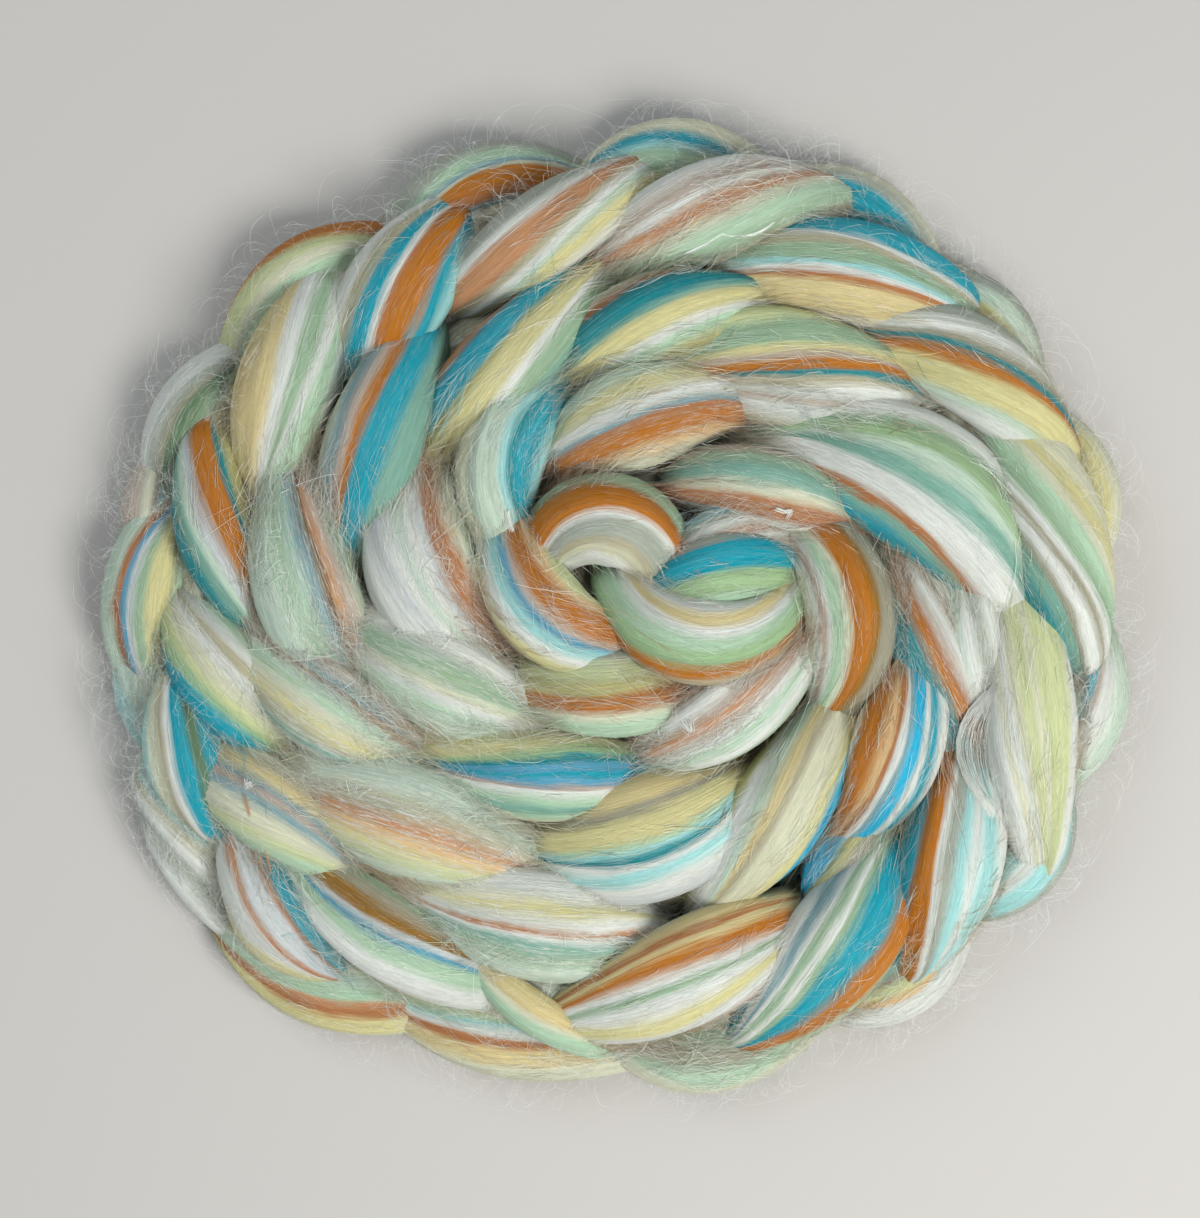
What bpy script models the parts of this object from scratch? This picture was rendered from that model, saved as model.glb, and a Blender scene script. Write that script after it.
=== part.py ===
"""Braid of wool roving: combed top plaited as a chain and wound into a flat coil.

The coil is one soft solid. It lies on the plane z = 0 with its centre over the origin.
Each visible fold of the plait is a row of a table below, in plan, in millimetres.
"""

import math
from collections import namedtuple

import bmesh
import bpy

MM = 0.001

# A fold runs from (x0, y0) to (x1, y1). Its middle stands off the straight line by bow,
# to the right of the run if bow is positive. lift raises its crest over its layer's.
Fold = namedtuple("Fold", "name x0 y0 x1 y1 bow width lift")

# A layer gives the heights of its folds: the crest in the middle, and the tucked ends,
# and how wide the ends are as shares of the whole width.
Layer = namedtuple("Layer", "crest tuck start_share end_share folds")

RIM = Layer(17, 10, 0.62, 0.62, (
    Fold("rim_01", -54, 90, -8, 102, -8, 20, 0),
    Fold("rim_02", -6, 105, 36, 104, -6, 20, 0),
    Fold("rim_03", 40, 102, 74, 87, -4, 19, 0),
    Fold("rim_04", 76, 80, 101, 57, -4, 19, 0),
    Fold("rim_05", 104, 46, 112, 9, -6, 20, 0),
    Fold("rim_06", 113, -2, 107, -42, -7, 20, 0),
    Fold("rim_07", 108, -49, 88, -73, -4, 18, -1),
    Fold("rim_08", 82, -82, 53, -97, -4, 18, -1),
    Fold("rim_09", -2, -103, 44, -104, 6, 20, 0),
    Fold("rim_10", -53, -95, 2, -108, 5, 20, 0),
    Fold("rim_11", -95, -76, -46, -101, 6, 20, 0),
    Fold("rim_12", -111, -27, -93, -78, 5, 19, -1),
    Fold("rim_13", -118, -6, -110, -36, 2, 17, -4),
    Fold("rim_14", -106, 28, -114, -20, 6, 21, 1),
    Fold("rim_15", -110, 40, -114, 11, 2, 15, -4),
    Fold("rim_16", -91, 61, -110, 27, 5, 20, 0),
    Fold("rim_17", -55, 89, -93, 63, 6, 20, 1),
))

OUTER = Layer(30, 18, 0.6, 0.5, (
    Fold("outer_01", -33, 100, -64, 55, 2, 22, -1),
    Fold("outer_02", 13, 110, -40, 75, 1, 21, 1),
    Fold("outer_03", -4, 83, 55, 99, -6, 24, 1),
    Fold("outer_04", 25, 83, 86, 73, -4, 25, 1),
    Fold("outer_05", 57, 69, 109, 34, -8, 22, 0),
    Fold("outer_06", 93, 49, 114, -14, -3, 24, 0),
    Fold("outer_07", 99, 6, 103, -62, 0, 22, 0),
    Fold("outer_08", 84, -35, 72, -88, -3, 24, 0),
    Fold("outer_09", 68, -57, 28, -106, -5, 27, 0),
    Fold("outer_10", 46, -75, -15, -100, -2, 26, 2),
    Fold("outer_11", -35, -86, -4, -108, 2, 10, -6),
    Fold("outer_12", -51, -66, 9, -79, 4, 25, 0),
    Fold("outer_13", -78, -61, -29, -94, 3, 21, -3),
    Fold("outer_14", -92, -56, -70, -88, 3, 19, -5),
    Fold("outer_15", -101, -36, -64, -62, 0, 23, -1),
    Fold("outer_16", -107, -17, -96, -54, 4, 19, -6),
    Fold("outer_17", -107, 1, -82, -34, 2, 21, -3),
    Fold("outer_18", -100, 43, -90, -3, 3, 19, -3),
    Fold("outer_19", -70, 80, -86, 28, 2, 25, 0),
))

MIDDLE = Layer(33, 20, 0.6, 0.5, (
    Fold("middle_01", -4, 82, -47, 38, 1, 21, -1),
    Fold("middle_02", -14, 57, 39, 73, -6, 22, 0),
    Fold("middle_03", 10, 59, 74, 50, -8, 19, -1),
    Fold("middle_04", 27, 54, 74, 49, 2, 16, -6),
    Fold("middle_05", 36, 46, 99, 1, -8, 33, 1),
    Fold("middle_06", 68, 10, 87, -33, 0, 24, -7),
    Fold("middle_07", 72, -11, 55, -55, -4, 23, -1),
    Fold("middle_08", 55, -22, 21, -71, -3, 23, 0),
    Fold("middle_09", 67, -47, 48, -68, 0, 14, -12),
    Fold("middle_10", -18, -58, 33, -41, 6, 31, 0),
    Fold("middle_11", -46, -32, 8, -39, 5, 23, -1),
    Fold("middle_12", -78, -40, -21, -63, 0, 27, 0),
    Fold("middle_13", -89, -9, -48, -37, 2, 23, -2),
    Fold("middle_14", -78, 34, -64, -17, 5, 25, -1),
    Fold("middle_15", -47, 67, -65, 13, 3, 24, 0),
    Fold("middle_16", -46, 34, -32, -11, 8, 26, 1),
    Fold("middle_17", -64, -3, -18, -29, 2, 25, 0),
    Fold("middle_18", 84, 8, 90, -26, 0, 15, -8),
))

INNER = Layer(35, 22, 0.6, 0.5, (
    Fold("inner_01", -14, 56, -28, 19, 8, 22, -2),
    Fold("inner_02", -16, 35, 32, 49, -6, 25, 0),
    Fold("inner_03", 14, 31, 57, 20, -4, 19, -2),
    Fold("inner_04", 44, 21, 51, -24, -9, 23, 0),
    Fold("inner_05", 7, -35, 46, -8, 3, 20, -1),
    Fold("inner_06", -24, -17, 20, -19, 3, 21, -1),
    Fold("inner_07", -26, 23, 4, -10, 10, 22, 2),
    Fold("inner_08", -18, 11, 12, 6, -13, 22, 3),
    Fold("inner_09", -1, 9, 44, 5, 15, 20, 5),
    Fold("inner_10", 8, 3, 43, 10, -3, 15, 2),
    Fold("inner_11", 12, 8, 42, 19, -3, 17, -4),
))

# Each turn of the coil is nearly round. Under its visible folds lie the wool inside the
# plait and one ring of folds that cross it the other way and press flat on the floor.
Turn = namedtuple("Turn", "x y radius under_folds")

TURNS = (
    Turn(0, -1, 95, 22),
    Turn(1, 4, 66, 15),
    Turn(10, 6, 36, 8),
    Turn(6, 8, 10, 3),
)

UNDER = Layer(17, 12, 0.5, 0.5, ())
UNDER_LENGTH = 42
UNDER_WIDTH = 23
UNDER_SLANT_DEG = 34
UNDER_BOW = 2

CORE_WIDTH = 33
CORE_THICKNESS = 18
CORE_HEIGHT = 11

THICKNESS_SHARE = 0.84  # a fold's thickness over its width
ROUND_SHARE = 0.08  # the part of a fold's length that rounds off at each end
TIP_SHARE = 0.01  # how far inside the rounding a fold's blunt tip lies
FOLD_STEPS = 14
CORE_STEPS = 40
SECTION_STEPS = 4
VOXEL = 1.5
KEPT_SHARE = 0.045  # of the faces of the fused wool
FLOOR_DEPTH = 20
WOOL_COLOUR = (0.62, 0.66, 0.52, 1)
WOOL_ROUGHNESS = 0.75


def arc_point(fold, t):
    """The plan position at t along the fold's circular arc."""
    dx, dy = fold.x1 - fold.x0, fold.y1 - fold.y0
    chord = math.hypot(dx, dy)
    along, side = (t - 0.5) * chord, 0
    if fold.bow:
        angle = 4 * math.atan(2 * fold.bow / chord)
        radius = chord / 2 / math.sin(angle / 2)
        along = radius * math.sin((t - 0.5) * angle)
        side = radius * (math.cos((t - 0.5) * angle) - math.cos(angle / 2))
    ux, uy = dx / chord, dy / chord
    middle_x, middle_y = (fold.x0 + fold.x1) / 2, (fold.y0 + fold.y1) / 2
    return middle_x + ux * along + uy * side, middle_y + uy * along - ux * side


def fold_points(fold, layer):
    """(x, y, z, half width) along a fold, narrow and low at both ends."""
    points = []
    for i in range(FOLD_STEPS + 1):
        t = i / FOLD_STEPS
        swell = math.sin(math.pi * t)
        share = layer.start_share if t < 0.5 else layer.end_share
        near_end = min(1, (min(t, 1 - t) + TIP_SHARE) / ROUND_SHARE)
        rounding = math.sqrt(1 - (1 - near_end) ** 2)
        half = fold.width / 2 * (share + (1 - share) * swell)
        top = layer.tuck + (layer.crest + fold.lift - layer.tuck) * swell
        x, y = arc_point(fold, t)
        points.append((x, y, top - half * THICKNESS_SHARE, half * rounding))
    return points


def turn_point(turn, t):
    """The plan position, and the bearing of the run, at t along one turn's axis."""
    angle = -2 * math.pi * t
    x = turn.x + turn.radius * math.cos(angle)
    y = turn.y + turn.radius * math.sin(angle)
    return x, y, angle - math.pi / 2


def underside():
    """The layer of folds that the coil lies on."""
    folds = []
    reach = UNDER_LENGTH / 2
    for turn in TURNS:
        for i in range(turn.under_folds):
            x, y, bearing = turn_point(turn, i / turn.under_folds)
            run = bearing + math.radians(UNDER_SLANT_DEG)
            dx, dy = reach * math.cos(run), reach * math.sin(run)
            name = f"under_{len(folds) + 1:02d}"
            ends = (x - dx, y - dy, x + dx, y + dy)
            folds.append(Fold(name, *ends, UNDER_BOW, UNDER_WIDTH, 0))
    return UNDER._replace(folds=tuple(folds))


def core_points(turn):
    """The wool inside one turn of the plait, which fills the spaces between the folds."""
    points = []
    for i in range(CORE_STEPS + 1):
        x, y, _ = turn_point(turn, i / CORE_STEPS)
        points.append((x, y, CORE_HEIGHT, CORE_WIDTH / 2))
    return points


def helper(name, data, collection):
    """An object that shapes the wool and isn't part of it."""
    made = bpy.data.objects.new(name, data)
    made.hide_render = True
    made.display_type = "WIRE"
    collection.objects.link(made)
    return made


def oval(name, thickness_share, collection):
    """A closed oval curve of half width 1, for the section of a fold."""
    curve = bpy.data.curves.new(name, "CURVE")
    curve.resolution_u = SECTION_STEPS
    spline = curve.splines.new("BEZIER")
    corners = ((1, 0), (0, 1), (-1, 0), (0, -1))
    spline.bezier_points.add(len(corners) - 1)
    for point, (across, up) in zip(spline.bezier_points, corners):
        point.co = (across, up * thickness_share, 0)
        point.handle_left_type = "AUTO"
        point.handle_right_type = "AUTO"
    spline.use_cyclic_u = True
    return helper(name, curve, collection)


def swept(name, runs, section, collection):
    """A curve object that sweeps the section along each run of points."""
    curve = bpy.data.curves.new(name, "CURVE")
    curve.dimensions = "3D"
    curve.twist_mode = "Z_UP"
    curve.bevel_mode = "OBJECT"
    curve.bevel_object = section
    curve.use_fill_caps = True
    for run in runs:
        spline = curve.splines.new("POLY")
        spline.points.add(len(run) - 1)
        for point, (x, y, z, half) in zip(spline.points, run):
            point.co = (x * MM, y * MM, z * MM, 1)
            point.radius = half * MM
    return helper(name, curve, collection)


def wool_material():
    material = bpy.data.materials.new("wool")
    material.use_nodes = True
    shader = material.node_tree.nodes["Principled BSDF"]
    shader.inputs["Base Color"].default_value = WOOL_COLOUR
    shader.inputs["Roughness"].default_value = WOOL_ROUGHNESS
    shader.inputs["Metallic"].default_value = 0
    return material


def mesh_of(swept_objects):
    """One mesh with the swept shapes of all the given curves."""
    bpy.context.view_layer.update()
    graph = bpy.context.evaluated_depsgraph_get()
    vertices, faces = [], []
    for swept_object in swept_objects:
        mesh = swept_object.evaluated_get(graph).to_mesh()
        first = len(vertices)
        vertices.extend(tuple(vertex.co) for vertex in mesh.vertices)
        faces.extend(tuple(first + i for i in face.vertices) for face in mesh.polygons)
    joined = bpy.data.meshes.new("roving_braid")
    joined.from_pydata(vertices, [], faces)
    return joined


def floor_cutter(collection):
    """A block whose top is the plane that the coil rests on."""
    shape = bmesh.new()
    bmesh.ops.create_cube(shape, size=1)
    mesh = bpy.data.meshes.new("floor_cutter")
    shape.to_mesh(mesh)
    shape.free()
    cutter = helper("floor_cutter", mesh, collection)
    width = 2 * (TURNS[0].radius + CORE_WIDTH) * MM
    cutter.scale = (width, width, FLOOR_DEPTH * MM)
    cutter.location.z = -FLOOR_DEPTH / 2 * MM
    return cutter


def fuse(obj, cutter):
    """Joins the overlapping folds into one body, with a flat base."""
    remesh = obj.modifiers.new("join folds", "REMESH")
    remesh.mode = "VOXEL"
    remesh.voxel_size = VOXEL * MM
    remesh.use_smooth_shade = True
    decimate = obj.modifiers.new("fewer faces", "DECIMATE")
    decimate.ratio = KEPT_SHARE
    base = obj.modifiers.new("flat base", "BOOLEAN")
    base.operation = "DIFFERENCE"
    base.solver = "EXACT"
    base.object = cutter


def build():
    for obj in list(bpy.data.objects):
        bpy.data.objects.remove(obj, do_unlink=True)
    parts = bpy.data.collections.new("braid of wool roving")
    helpers = bpy.data.collections.new("helpers")
    for collection in (parts, helpers):
        bpy.context.scene.collection.children.link(collection)

    section = oval("fold_section", THICKNESS_SHARE, helpers)
    core_section = oval("core_section", CORE_THICKNESS / CORE_WIDTH, helpers)
    layers = (underside(), RIM, OUTER, MIDDLE, INNER)
    runs = [fold_points(fold, layer) for layer in layers for fold in layer.folds]
    folds = swept("folds", runs, section, helpers)
    core = swept("core", [core_points(turn) for turn in TURNS], core_section, helpers)

    wool = bpy.data.objects.new("roving_braid", mesh_of((folds, core)))
    wool.data.materials.append(wool_material())
    parts.objects.link(wool)
    fuse(wool, floor_cutter(helpers))


build()
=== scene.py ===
"""Looks of the braid of wool roving: every fold of the plait as soft combed fibre.

Each fold is a row of a table, in plan, in millimetres, with the stripes of dyed wool that
run along it. Loose fibres lie over the folds and stand out round the rim.
"""

import math
from collections import namedtuple

import bmesh
import bpy
import numpy as np
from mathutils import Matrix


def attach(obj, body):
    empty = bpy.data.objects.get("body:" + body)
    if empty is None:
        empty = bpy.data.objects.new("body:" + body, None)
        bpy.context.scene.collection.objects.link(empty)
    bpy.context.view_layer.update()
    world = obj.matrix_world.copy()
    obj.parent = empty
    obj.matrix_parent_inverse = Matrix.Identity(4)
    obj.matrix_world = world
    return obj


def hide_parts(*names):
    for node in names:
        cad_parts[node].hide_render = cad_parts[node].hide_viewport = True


MM = 0.001
MAP_SCALE = 0.1  # the fibres' map is in centimetres
NODE = "roving_braid"

# ---- dyed wool ----

# sRGB, 0 to 255, in even light
DYES = {
    "white": (207, 211, 204),
    "cream": (200, 201, 174),
    "beige": (168, 163, 136),
    "sand": (206, 190, 138),
    "yellow": (200, 194, 138),
    "olive": (174, 170, 112),
    "lime": (194, 202, 150),
    "gold": (136, 96, 24),
    "orange": (174, 104, 10),
    "rust": (164, 106, 60),
    "salmon": (180, 130, 90),
    "peach": (208, 174, 124),
    "brown": (102, 68, 32),
    "taupe": (148, 145, 124),
    "mauve": (168, 152, 140),
    "pink": (176, 160, 146),
    "lavender": (188, 194, 194),
    "grey": (158, 165, 152),
    "sage": (142, 171, 140),
    "green": (150, 182, 136),
    "moss": (88, 116, 86),
    "mint": (165, 196, 166),
    "pale_mint": (181, 201, 182),
    "jade": (114, 160, 144),
    "aqua": (150, 204, 202),
    "teal": (6, 126, 134),
    "turquoise": (0, 148, 166),
    "cyan": (0, 168, 206),
    "blue": (78, 150, 178),
    "slate": (124, 155, 160),
}

# ---- the folds ----

# A fold runs from (x0, y0) to (x1, y1). Its middle stands off the straight line by bow,
# to the right of the run if bow is positive. lift raises its crest over its layer's.
# stripes lists its dyes from the left edge, 0, to the right edge, 100. The three numbers
# say where a dye begins near the start, in the middle and near the end of the fold.
Fold = namedtuple("Fold", "name x0 y0 x1 y1 bow width lift stripes")

# A layer gives the heights of its folds, the crest in the middle and the tucked ends, and
# how wide the ends are as shares of the whole width. Each end runs on for the share
# tucked of the fold's length, hidden under the neighbouring folds.
Layer = namedtuple("Layer", "crest tuck start_share end_share tucked folds")

RIM = Layer(17, 10, 0.62, 0.62, 0.2, (
    Fold("rim_01", -54, 90, -8, 102, -8, 20, 0,
         "grey; mint 30 10 6; slate 42 25 16; cream 48 31 21; orange 52 34 24; rust 66 58 52; "
         "slate 76 72 66; beige 84 80 78"),
    Fold("rim_02", -6, 105, 36, 104, -6, 20, 0,
         "cream; turquoise 12 16 36; aqua 24 34 48; mint 34 42 58"),
    Fold("rim_03", 40, 102, 74, 87, -4, 19, 0,
         "cream; grey 10 10 12; turquoise 24 22 30; teal 78 80 88"),
    Fold("rim_04", 76, 80, 101, 57, -4, 19, 0,
         "grey; pale_mint 30 18 15; olive 50 42 45; mint 80 76 74"),
    Fold("rim_05", 104, 46, 112, 9, -6, 20, 0,
         "cream; yellow 15 14 20; olive 34 32 40; mint 60 46 54"),
    Fold("rim_06", 113, -2, 107, -42, -7, 20, 0,
         "pale_mint; white 20 30 30; mauve 26 50 74; turquoise 34 56 80; grey 60 70 90"),
    Fold("rim_07", 108, -49, 88, -73, -4, 18, -1,
         "grey; aqua 14 16 18; white 42 44 46; aqua 60 62 62; white 84 86 86"),
    Fold("rim_08", 82, -82, 53, -97, -4, 18, -1,
         "white; peach 40 32 40; lime 48 41 52; taupe 62 60 64; aqua 74 70 68"),
    Fold("rim_09", -2, -103, 44, -104, 6, 20, 0,
         "sage; taupe 30 34 40; mint 66 68 58; cream 72 91 84"),
    Fold("rim_10", -57, -93, 2, -108, 5, 20, 1,
         "cream; yellow 8 6 -10; mint 42 22 4; aqua 54 32 20; white 58 36 26; rust 68 46 36; "
         "sand 84 62 50; cream 100 84 70"),
    Fold("rim_11", -95, -76, -45, -98, 7, 20, -1,
         "cream; pale_mint 62 26 8; mint 74 44 20; salmon 84 60 44; rust 90 68 50; "
         "yellow 97 78 64; cream 106 100 96"),
    Fold("rim_12", -111, -27, -93, -78, 5, 19, -1,
         "beige; aqua 105 38 -20; beige 112 46 -5; white 118 60 10; grey 130 74 40; "
         "white 150 92 70"),
    Fold("rim_13", -118, -6, -110, -36, 2, 17, -4,
         "cream; pale_mint 40 50 50; aqua 110 80 60"),
    Fold("rim_14", -106, 28, -114, -20, 6, 21, 1,
         "mint; yellow 30 14 22; sage 46 46 46; lavender 50 56 58; blue 54 64 66; rust 59 71 74; "
         "pale_mint 68 82 84"),
    Fold("rim_15", -110, 40, -114, 11, 2, 15, -4,
         "aqua; mauve 40 42 45; cream 52 50 55; pink 74 70 72"),
    Fold("rim_16", -91, 61, -110, 27, 5, 20, 0,
         "yellow; sage 32 22 18; moss 44 38 34; taupe 56 64 66; grey 60 68 72; white 70 80 84"),
    Fold("rim_17", -55, 89, -93, 63, 6, 20, 1,
         "white; mint 30 20 10; cream 50 56 50; lime 58 70 66; orange 70 88 100"),
))

OUTER = Layer(30, 18, 0.6, 0.5, 0.12, (
    Fold("outer_01", -39, 95.5, -65.5, 56, 2, 25, -1,
         "aqua; turquoise 20 4 -10; orange 32 18 5; rust 60 46 25; white 66 52 33; "
         "turquoise 71 57 38; beige 82 75 70; white 90 86 76"),
    Fold("outer_02", 8, 106, -40, 75, 1, 21, 1,
         "white; yellow 20 6 -5; pale_mint 46 22 2; white 54 29 8; beige 66 37 15; "
         "salmon 74 45 25; white 90 74 68; grey 95 80 76"),
    Fold("outer_03", -4, 83, 55, 99, -6, 24, 1,
         "white; pink 25 14 -8; white 34 29 -2; salmon 42 37 3; cream 64 60 20; "
         "mint 72 66 30; sage 86 84 48; beige 104 98 70"),
    Fold("outer_04", 25, 83, 86, 73, -4, 25, 1,
         "turquoise; white 12 20 28; beige 18 24 34; sage 28 30 38; aqua 44 48 54; white 51 52 57; "
         "rust 60 58 61; sand 65 64 64; white 98 97 98"),
    Fold("outer_05", 57, 69, 109, 34, -8, 22, 0,
         "grey; white 40 9 -10; taupe 47 24 -2; teal 52 32 6; orange 62 40 12; yellow 77 57 17; "
         "pale_mint 100 86 55; white 110 93 68"),
    Fold("outer_06", 93, 49, 114, -14, -3, 24, 0,
         "cream; yellow 42 4 -15; cream 52 18 -8; mint 62 28 -2; sage 76 42 4; white 92 55 10; "
         "taupe 100 62 23; white 108 69 28; taupe 116 80 56; jade 124 88 60; teal 150 104 76"),
    Fold("outer_07", 99, 6, 103, -62, 0, 22, 0,
         "white; lime 8 12 18; cream 56 42 32; lime 62 50 37; cream 80 64 46; white 86 72 52; "
         "cream 92 80 60; white 96 85 66"),
    Fold("outer_08", 84, -35, 72, -88, -3, 24, 0,
         "white; aqua 16 4 -10; white 24 25 10; aqua 34 35 24; grey 44 48 34; white 58 64 45; "
         "orange 62 67 50; turquoise 86 87 82; aqua 100 110 92"),
    Fold("outer_09", 68, -57, 30, -104, -5, 27, 0,
         "mint; orange 4 5 6; turquoise 24 25 26; sage 58 54 38; white 66 62 46; sage 70 66 50; "
         "white 80 76 60; slate 84 80 63; white 92 88 68; turquoise 114 108 78; white 128 122 98"),
    Fold("outer_10", 46, -75, -15, -100, -2, 26, 2,
         "pink; white 18 4 -10; yellow 34 12 10; white 38 28 30; sage 42 46 46; white 46 51 50; "
         "orange 52 64 62; sand 72 78 70; rust 82 85 77; sand 85 88 80; cream 104 104 92"),
    Fold("outer_11", -35, -86, -4, -108, 2, 10, -6,
         "sand; cream 50 46 30; mint 64 60 40"),
    Fold("outer_12", -51, -66, 9, -79, 4, 25, 0,
         "white; yellow 42 25 20; white 54 42 30; rust 60 51 50; white 64 55 54; jade 68 60 62; "
         "sage 76 74 72; pale_mint 88 86 82"),
    Fold("outer_13", -78, -61, -29, -94, 3, 21, -3,
         "sage; taupe 12 10 0; gold 24 20 8; lavender 50 38 16; blue 56 44 22; mint 64 54 32; "
         "white 74 74 58"),
    Fold("outer_14", -92, -56, -70, -88, 3, 19, -5,
         "teal; turquoise 5 10 18; rust 25 32 38; lavender 38 38 44; rust 62 66 70; "
         "white 69 73 76; yellow 110 92 82"),
    Fold("outer_15", -101, -36, -64, -62, 0, 23, -1,
         "cream; beige 12 8 5; sand 20 16 14; slate 40 30 35; mauve 44 36 42; slate 54 43 48; "
         "cream 68 53 54; lime 92 74 66; mint 100 82 74"),
    Fold("outer_16", -107, -17, -96, -54, 4, 19, -6,
         "aqua; turquoise 6 4 6; moss 28 22 32; turquoise 42 36 50; white 60 58 76; "
         "beige 70 68 84; cream 78 76 92; aqua 93 96 108"),
    Fold("outer_17", -107, 1, -82, -34, 2, 21, -3,
         "mint; white 12 6 -5; beige 28 15 5; white 38 26 14; cream 50 38 24; lime 66 54 40; "
         "green 84 66 54; turquoise 106 76 66"),
    Fold("outer_18", -100, 43, -90, -3, 3, 19, -3,
         "olive; teal 22 5 -10; orange 32 13 0; mauve 70 44 24; lavender 76 51 32; "
         "pale_mint 86 66 44; jade 92 72 50; teal 110 88 70"),
    Fold("outer_19", -70, 80, -86, 28, 2, 25, 0,
         "lavender; mint 10 8 4; white 18 24 43; sage 34 30 47; white 58 46 50; sand 78 60 62"),
))

MIDDLE = Layer(33, 20, 0.6, 0.5, 0.12, (
    Fold("middle_01", -4, 82, -47, 38, 1, 21, -1,
         "jade; sage 10 6 -20; white 38 22 5; yellow 48 33 12; olive 66 60 54; "
         "turquoise 76 66 62; rust 108 94 98"),
    Fold("middle_02", -14, 57, 39, 73, -6, 22, 0,
         "cream; rust 12 0 -15; teal 20 7 -5; jade 48 37 17; yellow 56 43 24; white 82 67 45; "
         "mint 90 78 55; olive 98 90 64"),
    Fold("middle_03", 10, 59, 74, 50, -8, 19, -1,
         "lime; sage 30 12 -10; yellow 55 44 5; pink 66 55 16; orange 76 62 22; teal 92 79 38; "
         "beige 96 84 52; white 106 98 60"),
    Fold("middle_04", 27, 54, 74, 49, 2, 16, -6,
         "cream; white 14 12 14; pink 50 46 44; white 60 56 54; beige 88 88 90"),
    Fold("middle_05", 38, 43, 99, 1, -9.5, 33, 1,
         "white; sage 30 10 10; green 36 16 18; pale_mint 44 32 30; jade 48 37 34; white 53 58 50; "
         "rust 74 77 88; jade 79 84 92; turquoise 84 90 96; jade 98 102 102"),
    Fold("middle_06", 68, 10, 87, -33, 0, 24, -7,
         "white; pink 14 12 10; white 26 24 18; pink 38 36 30; rust 46 44 36; orange 50 48 42; "
         "teal 62 60 56; turquoise 78 76 70; slate 90 88 86"),
    Fold("middle_07", 72, -11, 55, -55, -4, 23, -1,
         "white; turquoise 20 7 -5; white 30 20 10; cyan 34 24 13; slate 50 42 34; white 54 48 43; "
         "rust 58 52 46; peach 66 58 57; orange 78 70 62; cream 96 96 90"),
    Fold("middle_08", 55, -22, 21, -71, -3, 23, 0,
         "cyan; yellow 16 11 -8; cream 30 22 6; beige 60 53 36; sand 66 58 42; "
         "pale_mint 84 72 46; white 92 84 56; olive 105 98 85"),
    Fold("middle_09", 67, -47, 48, -68, 0, 14, -12,
         "moss; taupe 26 24 25; olive 46 44 42; cyan 72 66 60"),
    Fold("middle_10", -18, -58, 33, -41, 6, 31, 0,
         "sand; taupe 24 23 22; yellow 28 27 26; mint 55 48 48; aqua 58 52 50; teal 62 58 55; "
         "white 65 64 60; aqua 74 70 66; white 82 80 76; lavender 90 90 90"),
    Fold("middle_11", -46, -32, 8, -39, 5, 23, -1,
         "yellow; green 60 20 6; teal 66 30 24; blue 68 36 30; turquoise 70 46 44; blue 72 50 50; "
         "mauve 74 60 62; white 76 63 66; mint 80 68 72; jade 88 78 82; mint 96 88 88; "
         "cream 102 97 94"),
    Fold("middle_12", -78, -40, -21, -63, 0, 27, 0,
         "pale_mint; beige 42 28 28; salmon 60 50 48; peach 68 60 58; yellow 80 72 68; "
         "lime 88 80 76; pale_mint 98 90 80"),
    Fold("middle_13", -89, -9, -48, -37, 2, 23, -2,
         "pink; slate 16 16 20; rust 24 23 26; pale_mint 28 28 38; mint 44 38 46; "
         "cream 58 50 54; yellow 68 60 62; beige 80 76 74; jade 86 82 78; white 100 96 92"),
    Fold("middle_14", -78, 34, -64, -17, 5, 25, -1,
         "sage; pink 18 8 8; salmon 38 22 16; brown 42 28 28; slate 47 34 36; mint 62 46 54; "
         "pale_mint 84 72 76"),
    Fold("middle_15", -47, 67, -65, 13, 3, 24, 0,
         "jade; turquoise 28 30 38; orange 59 58 70; pink 72 70 72; slate 84 80 84; "
         "cream 92 92 95"),
    Fold("middle_16", -46, 34, -32, -11, 8, 26, 1,
         "mint; cream 18 4 -5; rust 28 10 10; lavender 55 36 31; white 60 42 36; "
         "pale_mint 80 54 48; white 88 60 54; lavender 98 72 66; white 106 80 74"),
    Fold("middle_17", -64, -3, -18, -29, 2, 25, 0,
         "white; sage 40 25 28; cream 66 56 46; white 72 61 50; mint 82 68 66; "
         "pale_mint 98 86 76"),
    Fold("middle_18", 84, 8, 90, -26, 0, 15, -8,
         "white; grey 30 30 30; white 50 50 50; pale_mint 70 70 70"),
))

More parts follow.
